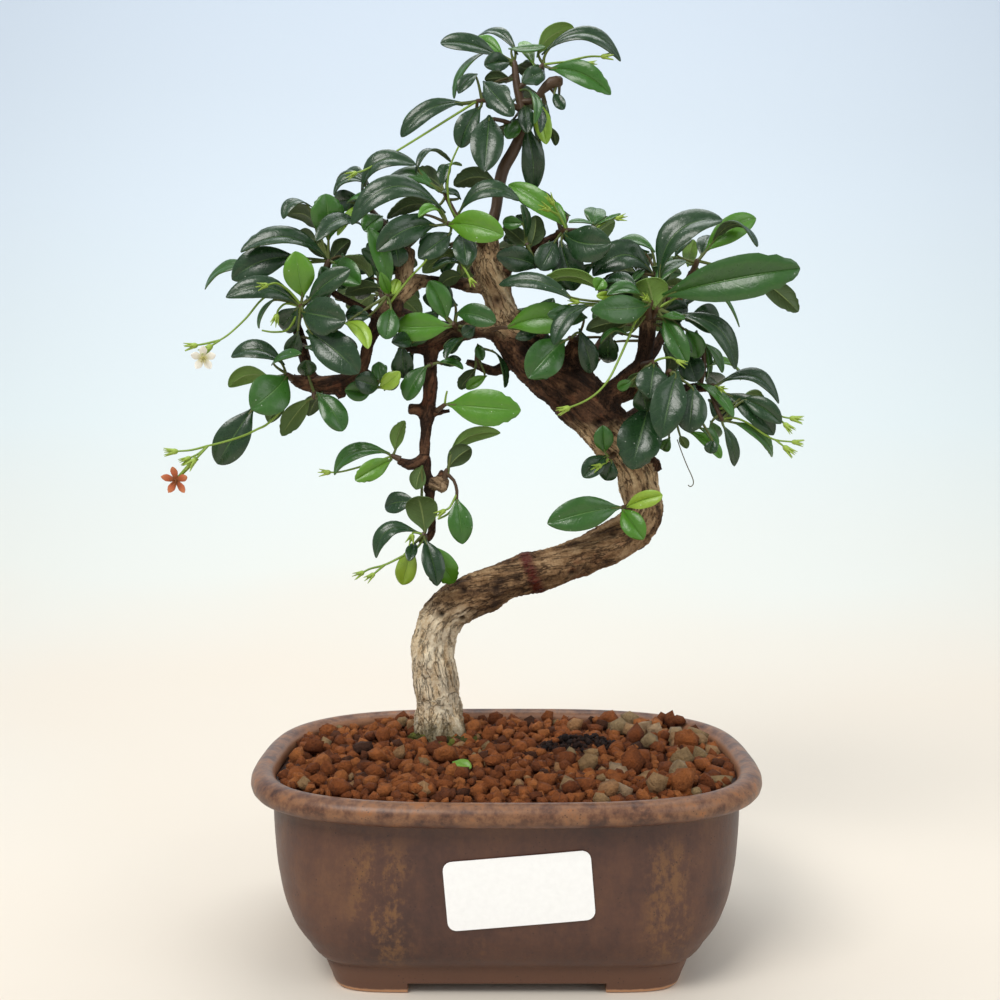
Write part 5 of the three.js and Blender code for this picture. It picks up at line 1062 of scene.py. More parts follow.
def leaf_upper_finish():
    """Leathery upper side: dark and glossy when old, lime when young, with a pale rib and tiny dots."""
    finish = Finish("leaf_upper", gloss=0.55)
    tone = finish.value("tone")
    mottle = finish.noise(330, 3, 0.6)
    broad = finish.noise(70, 2, 0.5)
    colour = finish.ramp(
        tone * 0.9 + mottle * 0.12 + broad * 0.08 - 0.06,
        (0.0, 25, 51, 27), (0.2, 37, 74, 29), (0.4, 52, 101, 25), (0.62, 74, 126, 24),
        (0.85, 113, 150, 36), (1.0, 152, 182, 58))
    rib, veins = rib_and_veins(finish, mottle, (0.065, 0.015), (0.98, 0.6), 0.08)
    side = abs(finish.value("across"))
    veins = veins * finish.step(side, 0.03, 0.2) * finish.step(side, 0.95, 0.6)
    colour = finish.blend(colour, srgb(104, 142, 72), rib * 0.3)
    colour = finish.blend(colour, srgb(84, 128, 60), veins * 0.07)
    dots = finish.step(finish.cells(330), 0.1, 0.05) * finish.step(mottle, 0.46, 0.54)
    colour = finish.blend(colour, srgb(206, 214, 200), dots * 0.55)
    finish.surface(base_color=colour, roughness=0.17 + mottle * 0.24 + tone * 0.08)
    finish.relief(mottle * 0.45 - rib * 0.5 - veins * 0.05 + dots * 0.12 + broad * 0.9, 0.0008, 0.6)
    return finish.material


def leaf_under_finish():
    """Dull olive underside with a raised, paler rib."""
    finish = Finish("leaf_under", gloss=0.35)
    mottle = finish.noise(360, 3, 0.6)
    colour = finish.ramp(
        finish.value("tone") * 0.9 + mottle * 0.1,
        (0.0, 56, 74, 40), (0.4, 80, 104, 50), (0.75, 108, 142, 58), (1.0, 150, 180, 82))
    rib, veins = rib_and_veins(finish, mottle, (0.09, 0.03), (1.0, 0.7), 0.1)
    colour = finish.blend(colour, srgb(136, 152, 90), rib * 0.5 + veins * 0.08)
    finish.surface(base_color=colour, roughness=0.5 + mottle * 0.2)
    finish.relief(rib * 0.8 + veins * 0.3 + mottle * 0.3, 0.0005, 0.7)
    return finish.material


def shoot_finish():
    """Young stems: brown where they leave the wood, green where they carry leaves."""
    finish = Finish("green_shoot", gloss=0.4)
    tone = finish.value("tone")
    mottle = finish.noise(700, 4, 0.6)
    colour = finish.ramp(
        tone + mottle * 0.16 - 0.08,
        (0.0, 62, 42, 31), (0.25, 82, 62, 38), (0.5, 84, 106, 42), (0.8, 124, 152, 56),
        (1.0, 158, 182, 74))
    finish.surface(base_color=colour, roughness=0.5)
    finish.relief(mottle, 0.0003, 0.5)
    return finish.material


def petal_finish(name, heart, middle, rim):
    """Thin petals, streaked along, whose colour changes from the heart to the rim."""
    finish = Finish(name, gloss=0.3)
    along = finish.value("along") * 0.8 + finish.noise(900, 4, 0.6) * 0.3 - 0.05
    colour = finish.ramp(along, (0.1, *heart), (0.5, *middle), (0.9, *rim))
    finish.surface(base_color=colour, roughness=0.6)
    finish.relief(finish.noise(1500, 3, 0.6, stretch=(1, 1, 0.3)), 0.0003, 0.6)
    return finish.material


def paper_finish():
    """A blank sticker: smooth white paper, faintly mottled."""
    finish = Finish("label_paper", gloss=0.4)
    mottle = finish.noise(500, 4, 0.6)
    colour = finish.ramp(mottle, (0.3, 245, 245, 244), (0.7, 250, 250, 249))
    finish.surface(base_color=colour, roughness=0.42 + mottle * 0.06)
    finish.relief(finish.noise(60, 2, 0.5), 0.0004, 0.2)
    return finish.material


def mesh_finish():
    """Moulded plastic of the drain screens."""
    finish = Finish("screen_plastic", gloss=0.4)
    mottle = finish.noise(800, 3, 0.6)
    colour = finish.ramp(mottle, (0.3, 34, 36, 39), (0.7, 50, 53, 57))
    finish.surface(base_color=colour, roughness=0.5 + mottle * 0.2)
    finish.relief(mottle, 0.0002, 0.5)
    return finish.material


def floor_finish():
    """Warm white on the floor, turning cool as the sheet rises behind: the cool tint up the sheet is painted
    light.
    """
    finish = Finish("pale_floor", gloss=0.1)
    # Painted light: the one sheet turns from warm white to a cool tint as it rises
    rise = finish.axis(2) + (finish.noise(1.6, 2, 0.5) - 0.5) * 0.12
    colour = finish.ramp(
        rise / 1.1,
        (0.0, 226, 216, 202), (0.06, 222, 223, 216), (0.2, 219, 227, 227),
        (0.55, 218, 228, 236), (1.0, 214, 225, 238))
    finish.surface(base_color=colour, roughness=0.8)
    return finish.material


def moss_finish():
    """Speckled green and brown moss."""
    finish = Finish("moss", gloss=0.2)
    speckle = finish.noise(2200, 4, 0.7)
    colour = finish.ramp(
        finish.value("tone") * 0.5 + speckle * 0.5,
        (0.2, 50, 44, 24), (0.45, 84, 84, 38), (0.65, 116, 122, 52), (0.85, 140, 146, 78))
    finish.surface(base_color=colour, roughness=0.95)
    finish.relief(speckle, 0.0008)
    return finish.material


# Pot and label

# Rows of the outer wall as (height, value): its half-width, its half-depth for each unit of
# half-width, and how square its section is. The foot is deeper and squarer than the rim.
WALL_PROFILE = [(4, 66.2), (9, 68.4), (10, 69.3), (16, 75.9), (25, 83.3), (37, 87.8), (50, 89.9),
                (62, 91.1), (65.6, 91.6)]
WALL_DEPTHS = [(4, 0.885), (16, 0.86), (25, 0.82), (37, 0.785), (62, RIM_HALF_DEPTH / RIM_HALF_WIDTH)]
WALL_CORNERS = [(0, 9), (9, 8), (16, 5.5), (25, 4.4), (37, 3.8), (62, 3.2), (70.6, RIM_SQUARENESS)]
WALL_STEP = 1.2
# The groove round the wall just above the foot band
GROOVE_HEIGHT = 10.4
GROOVE_DEPTH = 0.8
GROOVE_SPREAD = 0.9
# The rim's roll, from where it leaves the outer wall over the top to the inner wall
ROLL_FROM = -1.3
ROLL_TO = math.pi + 1.05
ROLL_STEPS = 14
# Levels of a bowl are (half-width, inset, height), the inset being the same all round
UNDERSIDE = [(52, 0, 6), (56, 0, 4)]
INNER_WALL_HEIGHTS = (64, 60, 50, 37, 28, 20, 15)
INNER_FLOOR = [(66, 2, 12.6), (60, 0, FLOOR_TOP)]
FOOT_BAND = [(64.3, 0, 0), (65, 0, 0.8), (65.7, 0, 2.6), (66.3, 0, 4.4), (67.2, 0, 6.6), (68.1, 0, 8.7),
             (66, 0, 9.4)]
FOOT_HOLLOW = [(52, 0, -2), (52, 0, 9.9)]
POT_SEGMENTS = 160
# A point this far inside the wall's outer face is on the bowl's inner side, and from a height of
# 66 mm, where the rim rolls over, one this far inside the rim's middle line
INNER_FROM = 3
INNER_FROM_AT_RIM = 3.4
RIM_FROM = 66


def oblong(turn, half_width, inset, height):
    """A place on the pot's rounded oblong section."""
    power = 2 / along_table(WALL_CORNERS, height)
    c, s = math.cos(turn), math.sin(turn)
    half_depth = half_width * along_table(WALL_DEPTHS, height)
    return (math.copysign((half_width - inset) * abs(c) ** power, c),
            math.copysign((half_depth - inset) * abs(s) ** power, s), height)


def turned_bowl(name, levels):
    """A bowl raised level by level from a round disc, then pressed into the oblong section."""
    bpy.ops.mesh.primitive_circle_add(vertices=POT_SEGMENTS, radius=1, fill_type="NGON")
    bowl = bpy.context.object
    bowl.name = name
    bpy.ops.object.mode_set(mode="EDIT")
    bpy.ops.mesh.select_mode(type="FACE")
    bpy.ops.mesh.select_all(action="SELECT")
    for _ in levels[1:]:
        bpy.ops.mesh.extrude_region_move(TRANSFORM_OT_translate={"value": (0, 0, 1)})
    bpy.ops.object.mode_set(mode="OBJECT")
    points = []
    for vertex in bowl.data.vertices:
        turn = math.atan2(vertex.co.y, vertex.co.x)
        points.append(world(oblong(turn, *levels[round(vertex.co.z)])))
    place_points(bowl.data, points)
    activate(bowl)
    bpy.ops.object.mode_set(mode="EDIT")
    bpy.ops.mesh.select_all(action="SELECT")
    bpy.ops.mesh.normals_make_consistent(inside=False)
    bpy.ops.object.mode_set(mode="OBJECT")
    return bowl


def box_tool(*size):
    bpy.ops.mesh.primitive_cube_add(size=1)
    tool = bpy.context.object
    place_points(tool.data, [
        world([share * side for share, side in zip(v.co, size)]) for v in tool.data.vertices])
    return tool


def cut(piece, tool, operation="DIFFERENCE"):
    apply_modifier(piece, "BOOLEAN", object=tool, operation=operation, solver="EXACT")
    bpy.data.objects.remove(tool)


def on_inner_wall(place):
    """1 on the bowl's inner wall and floor, 0 on its outside and foot."""
    if place.z < FLOOR_TOP - 0.5:
        return 0.0
    half, half_depth = RIM_HALF_WIDTH - INNER_FROM_AT_RIM, RIM_HALF_DEPTH - INNER_FROM_AT_RIM
    if place.z < RIM_FROM:
        half = along_table(WALL_PROFILE, place.z)
        half_depth = half * along_table(WALL_DEPTHS, place.z) - INNER_FROM
        half -= INNER_FROM
    power = along_table(WALL_CORNERS, place.z)
    return float(abs(place.x / half) ** power + abs(place.y / half_depth) ** power < 1)


def wall_steps(here, there):
    return max(1, round(abs(there[0] - here[0]) / WALL_STEP))


def pot_levels():
    """The bowl from the middle of its underside over the rim to the middle of its floor."""
    levels = list(UNDERSIDE)
    for height, half in eased_rows(WALL_PROFILE, wall_steps):
        groove = GROOVE_DEPTH * math.exp(-((height - GROOVE_HEIGHT) / GROOVE_SPREAD) ** 2)
        levels.append((half, groove, height))
    for i in range(ROLL_STEPS + 1):
        angle = mix(ROLL_FROM, ROLL_TO, i / ROLL_STEPS)
        height = RIM_CENTRE_HEIGHT + math.sin(angle) * RIM_HALF_HEIGHT
        levels.append((RIM_HALF_WIDTH, -math.cos(angle) * RIM_ROLL, height))
    levels += [(along_table(WALL_PROFILE, height), WALL_THICKNESS, height) for height in INNER_WALL_HEIGHTS]
    return levels + INNER_FLOOR


def make_pot():
    """The glazed bowl on its foot band, which is cut away to four corner feet, with its drain holes."""
    pot = turned_bowl("glazed_pot", pot_levels())
    feet = turned_bowl("feet", FOOT_BAND)
    cut(feet, turned_bowl("hollow", FOOT_HOLLOW))
    past_pot = 400
    cut(feet, box_tool(FOOT_CUT_HALF_WIDTH * 2, past_pot, FOOT_HEIGHT * 2))
    cut(feet, box_tool(past_pot, FOOT_CUT_HALF_DEPTH * 2, FOOT_HEIGHT * 2))
    cut(pot, feet, "UNION")
    for x in (-DRAIN_OFFSET, DRAIN_OFFSET):
        bpy.ops.mesh.primitive_cylinder_add(
            vertices=48, radius=DRAIN_RADIUS * MM, depth=0.03, location=world((x, 0, 8)))
        cut(pot, bpy.context.object)
    set_values(pot.data, "inner", [on_inner_wall((v.co - pot_centre) / MM) for v in pot.data.vertices])
    paint(pot, "glaze")
    finish_piece(pot, 40, "glazed_stoneware", "pot")


def wall_front(x, height):
    half = along_table(WALL_PROFILE, height)
    power = along_table(WALL_CORNERS, height)
    return -half * along_table(WALL_DEPTHS, height) * (1 - abs(x / half) ** power) ** (1 / power)


def make_label():
    """A blank sticker with rounded corners that lies along the front wall."""
    bpy.ops.mesh.primitive_grid_add(x_subdivisions=40, y_subdivisions=24, size=1)
    sheet = bpy.context.object
    sheet.name = "blank_label"
    straight_u, straight_v = (side / 2 - LABEL_CORNER for side in LABEL_SIZE)
    c, s = math.cos(LABEL_TILT), math.sin(LABEL_TILT)
    points = []
    for vertex in sheet.data.vertices:
        u, v = vertex.co.x * LABEL_SIZE[0], vertex.co.y * LABEL_SIZE[1]
        over_u, over_v = abs(u) - straight_u, abs(v) - straight_v
        if over_u > 0 and over_v > 0:
            reach = max(over_u, over_v) / math.hypot(over_u, over_v)
            u = math.copysign(straight_u + over_u * reach, u)
            v = math.copysign(straight_v + over_v * reach, v)
        x = LABEL_CENTRE[0] + u * c + v * s
        height = LABEL_CENTRE[1] - u * s + v * c
        points.append(world((x, wall_front(x, height) - LABEL_LIFT, height)))
    place_points(sheet.data, points)
    apply_modifier(sheet, "SOLIDIFY", thickness=LABEL_THICKNESS, offset=0)
    paint(sheet, "paper")
    finish_piece(sheet, 40, "label", "label")


# Wood

COURSE_STEP = 2.5
VOXEL_SIZE = 0.00088
# Surface roots at the foot of the trunk, as the limbs are listed
ROOTS = [[(-28.5, 90, 37, 9), (-32, 80, 36, 6.3), (-36, 72, 35, 3.6), (-40, 67, 34, 2)],
         [(-28.5, 90, 36, 8.8), (-25, 80, 34, 6), (-21.5, 72, 31, 3.6), (-18, 67, 28, 2)],
         [(-29, 88, 36, 8), (-30, 78, 31, 6), (-31, 71, 26, 4), (-32, 66, 22, 2.2)],
         [(-29, 88, 38, 8), (-28, 78, 43, 6), (-27, 71, 47, 4), (-26, 66, 51, 2.2)]]
# Knots and old cuts of the wood: x, z, depth of the front face, radius and rise
KNOTS = [(-24, 103, 27, 3, 1), (-35, 99, 30, 3, 0.8), (-4, 136, 19, 3.4, 1.2), (-18.3, 136, 21, 3.2, 1.3),
         (-27.7, 125, 21.5, 2.8, 1.2), (-18.7, 123.4, 22.6, 2.6, 1.1), (28.2, 142.8, 19.5, 3.2, 1.2),
         (46, 160, 19, 3.4, 1), (-4, 259, 23, 3, 1), (8, 236, 19, 4, 1.6),
         (27, 222, 17, 5, 1.6), (40, 207, 18, 4.4, 1.5), (20, 233, 17, 3.6, 1.4), (52, 190, 22, 3.6, 1.2)]
# The dark red ring round the slanting part of the trunk: its x and z, how it leans, half its
# width, and how far above and below it is looked for
SAP_RING = (12, 141)
SAP_LEAN = 0.4
SAP_HALF_WIDTH = 2.7
SAP_REACH = 15
# The bark's pattern changes slowly along a limb and fast round it
GRAIN_RUN = Vector((0.37, 0.59, 0.72)) * 0.24
THICK_LIMB = 9


def course_steps(here, there):
    return max(1, round((Vector(there[:3]) - Vector(here[:3])).length / COURSE_STEP))


def eased_course(rows):
    """Points and radii along a smooth curve through a limb's points."""
    return eased_rows([(*seen(*row[:3]), row[3]) for row in rows], course_steps)


def shoots(name, courses, resolution=2):
    """Round shoots of changing radius along courses of (x, y, z, radius), as one mesh."""
    curve = bpy.data.curves.new(name, "CURVE")
    curve.dimensions = "3D"
    curve.bevel_depth = MM
    curve.bevel_resolution = resolution
    curve.use_fill_caps = True
    for course in courses:
        spline = curve.splines.new("POLY")
        spline.points.add(len(course) - 1)
        for point, row in zip(spline.points, course):
            point.co = (*world(row[:3]), 1)
            point.radius = row[3]
    activate(new_object(name, curve))
    bpy.ops.object.convert(target="MESH")
    return bpy.context.object


def knot_relief(place, knots):
    """How far the knots raise the bark at a place, and how deep it is in a knot's core."""
    lift = hollow = 0
    for centre, reach, rise in knots:
        distance = (place - centre).length
        if distance < reach * 1.6:
            ring = math.exp(-((distance - reach * 0.75) / (reach * 0.34)) ** 2)
            core = math.exp(-(distance / (reach * 0.5)) ** 2)
            lift += rise * (ring * 0.75 - core * 1.1)
            hollow = max(hollow, core)
    return lift, hollow


def limb_stretches(courses):
    """Straight stretches of limbs: start, end, radius and the length gone before it."""
    stretches = []
    for course in courses:
        gone = 0
        for here, there in zip(course, course[1:]):
            start, end = Vector(here[:3]), Vector(there[:3])
            stretches.append((start, end, max(here[3], there[3]), gone))
            gone += (end - start).length
    return stretches


def make_wood():
    """Trunk, branches and twigs, grown as one: limbs fused, then their bark raised and cracked."""
    courses = [eased_course(limb) for limb in LIMBS + ROOTS]
    wood = shoots("bark_and_wood", courses, resolution=4)
    apply_modifier(wood, "REMESH", mode="VOXEL", voxel_size=VOXEL_SIZE)
    apply_modifier(wood, "SMOOTH", factor=0.5, iterations=2)
    mesh = wood.data
    stretches = limb_stretches(courses)
    tree = kdtree.KDTree(len(stretches))
    for index, stretch in enumerate(stretches):
        tree.insert((stretch[0] + stretch[1]) / 2, index)
    tree.balance()
    knots = [(seen(x, z, y), radius, rise) for x, z, y, radius, rise in KNOTS]
    girths, hollows, saps, grains, points = [], [], [], [], []
    for vertex in mesh.vertices:
        place = (vertex.co - pot_centre) / MM
        near = [stretches[index] for _, index, _ in tree.find_n(place, 6)]
        start, end, radius, gone = min(near, key=lambda stretch: bone_distance(place, stretch))
        girth = clamp(radius / THICK_LIMB)
        span = (end - start).normalized()
        ahead = (place - start).dot(span)
        # The place with the limb drawn short, so that the pattern runs along it
        drawn = place - start - span * ahead + GRAIN_RUN * (gone + ahead)
        plates = noise.noise(drawn * 0.3)
        ridges = 1 - abs(noise.noise(drawn * 0.55 + Vector((7, 3, 1)))) * 3.2
        crumbs = noise.noise(place * 1.15)
        lumps = noise.noise(place * 0.12 + Vector((3, 9, 4)))
        lift = lumps * 0.8 + plates * 0.6 - clamp(ridges) ** 2 * 0.6 + crumbs * 0.25
        lift *= 0.28 + girth * 1.15
        ring_x, ring_z = place.x - SAP_RING[0], place.z - SAP_RING[1]
        off_ring = (ring_x + ring_z * SAP_LEAN + crumbs * 1.4) / SAP_HALF_WIDTH
        sap = math.exp(-off_ring ** 4) if abs(ring_z) < SAP_REACH else 0
        knot_lift, hollow = knot_relief(place, knots)
        low_root = smoothstep(86, 70, place.z)
        root_lift = low_root * noise.noise(Vector((place.x, place.y, 0)) * 0.2) * 1.2
        lift += sap * 0.5 + knot_lift + root_lift
        girths.append(girth)
        hollows.append(clamp(hollow))
        saps.append(sap * clamp(1 + crumbs * 0.9))
        grains.extend(drawn * MM)
        points.append(vertex.co + vertex.normal * (lift * MM))
    place_points(mesh, points)
    for name, values in (("girth", girths), ("hollow", hollows), ("sap", saps)):
        set_values(mesh, name, values)
    mesh.attributes.new("grain", "FLOAT_VECTOR", "POINT").data.foreach_set("vector", grains)
    paint(wood, "bark")
    finish_piece(wood, 180, "bark", "trunk_and_branches")


# Leaves, stems and flowers

BLADE_ROWS = 16
BLADE_COLUMNS = 8
TIP_CROWDING = 1.4
BLADE_THICKNESS = 0.45
# Half-widths along a blade with its broad part near the tip, and along one with it in the middle
SPOON_EDGE = [(0, 0.06), (0.06, 0.09), (0.12, 0.16), (0.2, 0.36), (0.3, 0.61), (0.4, 0.79), (0.5, 0.91),
              (0.6, 0.985), (0.68, 1), (0.76, 0.96), (0.84, 0.85), (0.9, 0.71), (0.95, 0.52), (0.98, 0.33),
              (1, 0.05)]
OVAL_EDGE = [(0, 0.07), (0.05, 0.12), (0.1, 0.25), (0.2, 0.56), (0.3, 0.79), (0.4, 0.94), (0.5, 1),
             (0.6, 0.985), (0.7, 0.91), (0.8, 0.75), (0.88, 0.56), (0.94, 0.35), (0.98, 0.16), (1, 0.03)]
# Teeth near the tip: on some leaves by chance, and on any leaf longer than this
TOOTH_DEPTH = 0.12
TOOTHED_SHARE = 0.18
TOOTHED_LENGTH = 45
# Tones of the stems' finish, from brown to lime
TWIG_TONE, INNER_TONE, PETIOLE_TONE, STALK_TONE, NECK_TONE, CALYX_TONE = 0.14, 0.3, 0.42, 0.78, 0.8, 0.94
CALYX_RADIUS = 1.3
SEPAL_LENGTH = 4.6
# Half-widths along a petal, and how far its foot stands from the flower's middle
PETAL_EDGE = [(0, 0.6), (0.3, 1.2), (0.6, 1.6), (0.85, 1.1), (1, 0.15)]
PETAL_FOOT = 0.4


def blank_leaf():
    """One flat leaf, whose points later find their place: x runs from -1 to 1, y from 0 to 1."""
    bpy.ops.mesh.primitive_grid_add(x_subdivisions=BLADE_COLUMNS, y_subdivisions=BLADE_ROWS, size=2)
    leaf = bpy.context.object
    leaf.name = "blank_leaf"
    paint(leaf, "leaf_upper", "leaf_under")
    apply_modifier(leaf, "SOLIDIFY", thickness=BLADE_THICKNESS, offset=0,
                   material_offset=1, material_offset_rim=1)
    mesh = leaf.data
    place_points(mesh, [(v.co.x, 1 - ((1 - v.co.y) / 2) ** TIP_CROWDING, v.co.z) for v in mesh.vertices])
    set_values(mesh, "across", [v.co.x for v in mesh.vertices])
    set_values(mesh, "along", [v.co.y for v in mesh.vertices])
    set_values(mesh, "tone", 0)
    return leaf


def grow_leaf(blank, leaf, random):
    """A copy of the blank leaf, widened, keeled, cupped and bowed into its place."""
    mesh = blank.data.copy()
    tone = clamp(leaf.age / 3 + random.between(-0.09, 0.05))
    cup, fold = random.between(0.2, 0.7), random.between(0.06, 0.3)
    wave, phase = random.between(0.0, 0.1), random.between(0, 6.3)
    curl = random.between(-0.05, 0.14)
    oval = random.between(0.25, 0.95)
    teeth = TOOTH_DEPTH if random() < TOOTHED_SHARE or leaf.length > TOOTHED_LENGTH else 0
    rows = {}
    points = []
    for vertex in mesh.vertices:
        s, t, h = vertex.co
        if t not in rows:
            forward = (leaf.centre(min(t + 0.02, 1.02)) - leaf.centre(t - 0.02)).normalized()
            side = leaf.across - forward * leaf.across.dot(forward)
            side = side.normalized() if side.length > 0.05 else leaf.across
            up = forward.cross(side)
            if up.dot(leaf.normal) < 0:
                up = -up
            half = 0.5 * leaf.width * mix(along_table(SPOON_EDGE, t), along_table(OVAL_EDGE, t), oval)
            if 0.72 < t < 0.95 and round((1 - t) ** (1 / TIP_CROWDING) * BLADE_ROWS) % 2:
                half *= 1 - teeth
            rows[t] = (leaf.centre(t), side, up, half)
        centre, side, up, half = rows[t]
        spread = abs(s)
        keel = fold * half * spread ** 0.8
        dome = cup * half * 0.3 * spread * (1 - spread)
        turned_down = -0.1 * half * smoothstep(0.7, 1, spread)
        waving = wave * half * math.sin(t * 11 + phase + (1.7 if s > 0 else 0)) * spread * spread
        groove = -0.22 * math.exp(-(s / 0.12) ** 2) * min(1, half / 3)
        droop = -curl * leaf.length * max(0, t - 0.7) ** 2 * 3
        height = h + keel + dome + turned_down + waving + groove + droop
        points.append(world(centre + side * (s * half) + up * height))
    place_points(mesh, points)
    set_values(mesh, "tone", tone)
    return new_object("leaf", mesh)


def tapered(points, first, last):
    return [(*point, mix(first, last, i / (len(points) - 1))) for i, point in enumerate(points)]


def eased_points(points):
    """Points on a smooth curve through a stalk's points, four to a stretch."""
    return eased_rows(points, lambda here, there: 4)


def petiole_course(leaf):
    """From inside the stem, along the base of the blade to where its rib begins."""
    start, middle, end = leaf.foot, leaf.base, leaf.centre(0.14)
    shares = [k / 6 for k in range(7)]
    curve = [start * (1 - t) ** 2 + middle * 2 * t * (1 - t) + end * t * t for t in shares]
    return tapered(curve, 0.72, 0.4)


def stem_shoots(name, courses, tone, resolution=1):
    """Shoots in the stems' finish, all of one tone."""
    piece = shoots(name, courses, resolution)
    set_values(piece.data, "tone", tone)
    paint(piece, "shoot")
    return piece


def fifth(k, start=0.0):
    """A turn about the axis of a flower or calyx, k fifths of the way round."""
    return Matrix.Rotation(k * math.tau / 5 + start, 4, "Z")


def upright_to(direction):
    """The turn that lays +Z along a direction."""
    return direction.to_track_quat("Z", "Y").to_matrix().to_4x4()


def blank_calyx():
    """A small green cup with five narrow sepals, standing on the origin along +Z, in millimetres."""
    bpy.ops.mesh.primitive_uv_sphere_add(segments=10, ring_count=6, radius=CALYX_RADIUS)
    cup = bpy.context.object
    place_points(cup.data, [(v.co.x, v.co.y, v.co.z * 1.3 + CALYX_RADIUS) for v in cup.data.vertices])
    parts = [cup]
    outward = Matrix.Translation((0.5, 0, 1.2)) @ Matrix.Rotation(0.3, 4, "Y")
    for k in range(5):
        bpy.ops.mesh.primitive_cone_add(
            vertices=6, radius1=0.7, radius2=0.14, depth=SEPAL_LENGTH, end_fill_type="NGON")
        sepal = bpy.context.object
        sepal.data.transform(fifth(k) @ outward @ Matrix.Translation((0, 0, SEPAL_LENGTH / 2)))
        parts.append(sepal)
    calyx = join("blank_calyx", parts)
    paint(calyx, "shoot")
    return calyx


def grow_calyx(blank, course, random):
    """A copy of the blank calyx at the end of a stalk."""
    mesh = blank.data.copy()
    end = course[-1]
    turn = upright_to((end - course[-2]).normalized()) @ Matrix.Rotation(random() * 6.3, 4, "Z")
    size = random.between(0.8, 1.0)
    mesh.transform(Matrix.Translation(end) @ turn @ Matrix.Scale(size, 4))
    place_points(mesh, [world(v.co) for v in mesh.vertices])
    set_values(mesh, "tone", CALYX_TONE)
    return new_object("calyx", mesh)


def leafy_stem(spray, leaves, stalks, random):
    """A stem with its leaves, their petioles, and its stalks with their calyxes, as one piece."""
    stems = []
    for stem in spray["stems"]:
        course = eased_course(stem)
        end = Vector(course[-1][:3])
        ahead = (end - Vector(course[-2][:3])).normalized()
        stems.append(course + [(*(end + ahead * 0.8), course[-1][3] * 0.6)])
    parts = [stem_shoots("stems", stems, TWIG_TONE, resolution=2),
             stem_shoots("petioles", [petiole_course(leaf) for leaf in leaves], PETIOLE_TONE)]
    if stalks:
        thin = [tapered(eased_points(course), 0.55, 0.4) for course, _ in stalks]
        parts.append(stem_shoots("stalks", thin, STALK_TONE))
    parts += [grow_leaf(blanks["leaf"], leaf, random) for leaf in leaves]
    parts += [grow_calyx(blanks["calyx"], course, random) for course, bud in stalks if bud]
    finish_piece(join(spray["name"] + "_leaves", parts), 60, "leaf", spray["name"])


def make_flower(name, finish, slot, node, place, petal_length, tilt):
    """Five narrow petals round a small heart, a little cupped."""
    parts = []
    for k in range(5):
        bpy.ops.mesh.primitive_grid_add(x_subdivisions=4, y_subdivisions=8, size=2)
        petal = bpy.context.object
        apply_modifier(petal, "SOLIDIFY", thickness=0.3, offset=0)
        mesh = petal.data
        set_values(mesh, "along", [(v.co.y + 1) / 2 for v in mesh.vertices])
        points = []
        for vertex in mesh.vertices:
            t = (vertex.co.y + 1) / 2
            curl = 0.9 * t * t - vertex.co.x ** 2 * 0.2
            reach = PETAL_FOOT + t * (petal_length - PETAL_FOOT)
            points.append((vertex.co.x * along_table(PETAL_EDGE, t), reach, vertex.co.z + curl))
        place_points(mesh, points)
        mesh.transform(fifth(k))
        parts.append(petal)
    bpy.ops.mesh.primitive_uv_sphere_add(segments=10, ring_count=6, radius=0.9)
    set_values(bpy.context.object.data, "along", 0)
    parts.append(bpy.context.object)
    leaning = Matrix.Rotation(0.5, 4, "X") @ Matrix.Translation((0, 0, 1.5))
    for k in range(5):
        bpy.ops.mesh.primitive_cone_add(vertices=5, radius1=0.16, radius2=0.26, depth=2.4)
        anther = bpy.context.object
        anther.data.transform(fifth(k, 0.6) @ leaning)
        set_values(anther.data, "along", 0.1)
        parts.append(anther)
    flower = join(name, parts)
    facing = Vector((tilt, -0.85, -0.25)).normalized()
    flower.data.transform(Matrix.Translation(seen(*place)) @ upright_to(facing))
    place_points(flower.data, [world(v.co) for v in flower.data.vertices])
    paint(flower, finish)
    finish_piece(flower, 50, slot, node)


def make_flower_necks():
    """Green tubes between the calyxes and the two open flowers."""
    ends = [((-131.8, 192.2, -2), (-140.6, 183, -2.6)), ((-125.5, 239.3, -5.2), (-128.4, 235, -6.6))]
    courses = [tapered([seen(*start), seen(*end)], 1.1, 0.6) for start, end in ends]
    finish_piece(stem_shoots("flower_necks", courses, NECK_TONE, resolution=2), 60, "leaf")


# Soil

# Granules are thrown at random over this half-width and half-depth. The first share of them form
# the base, and the others lie on top. Cells of this width find a granule's neighbours.
THROW_HALF_WIDTH = 89
THROW_HALF_DEPTH = 67
GRAIN_SHAPES = 7
GRAIN_TRIES = 12000
BASE_SHARE = 0.8
GRAIN_CELL = 8
GRAIN_SPACING = 0.39
TRUNK_FOOT = Vector((-29, 37))
TRUNK_REACH = 10
# The dark heap of peat, of small grains
PEAT_PLACE = (30, 18)
PEAT_REACH = 11
PEAT_RISE = 3.2
# Three red-brown lumps that lie on top at the back right: x, y, size
CLOD = [(74, 50, 8.6), (70.2, 51.5, 6.6), (77.5, 48, 6.2)]
CLOD_LEVEL = 2
CLOD_TONE = 0.33
CLOD_RISE = 5.2
MOSS_TUFTS = 150


def blank_grains():
    """A few crumb shapes of about one millimetre, each knocked out of shape in its own way."""
    shapes = []
    for index in range(GRAIN_SHAPES):
        bpy.ops.mesh.primitive_ico_sphere_add(subdivisions=1, radius=0.5)
        grain = bpy.context.object
        stretch = Vector((1, 0.78 + 0.05 * (index % 4), 0.74 + 0.04 * (index % 3)))
        points = []
        for vertex in grain.data.vertices:
            lump = noise.noise(vertex.co * 2.6 + Vector((index * 9.1, 3, 5)))
            chip = noise.noise(vertex.co * 6.5 + Vector((4, index * 7.3, 2)))
            points.append(vertex.co * stretch * (1 + lump * 0.6 + chip * 0.36))
        place_points(grain.data, points)
        shapes.append(grain)
    return shapes


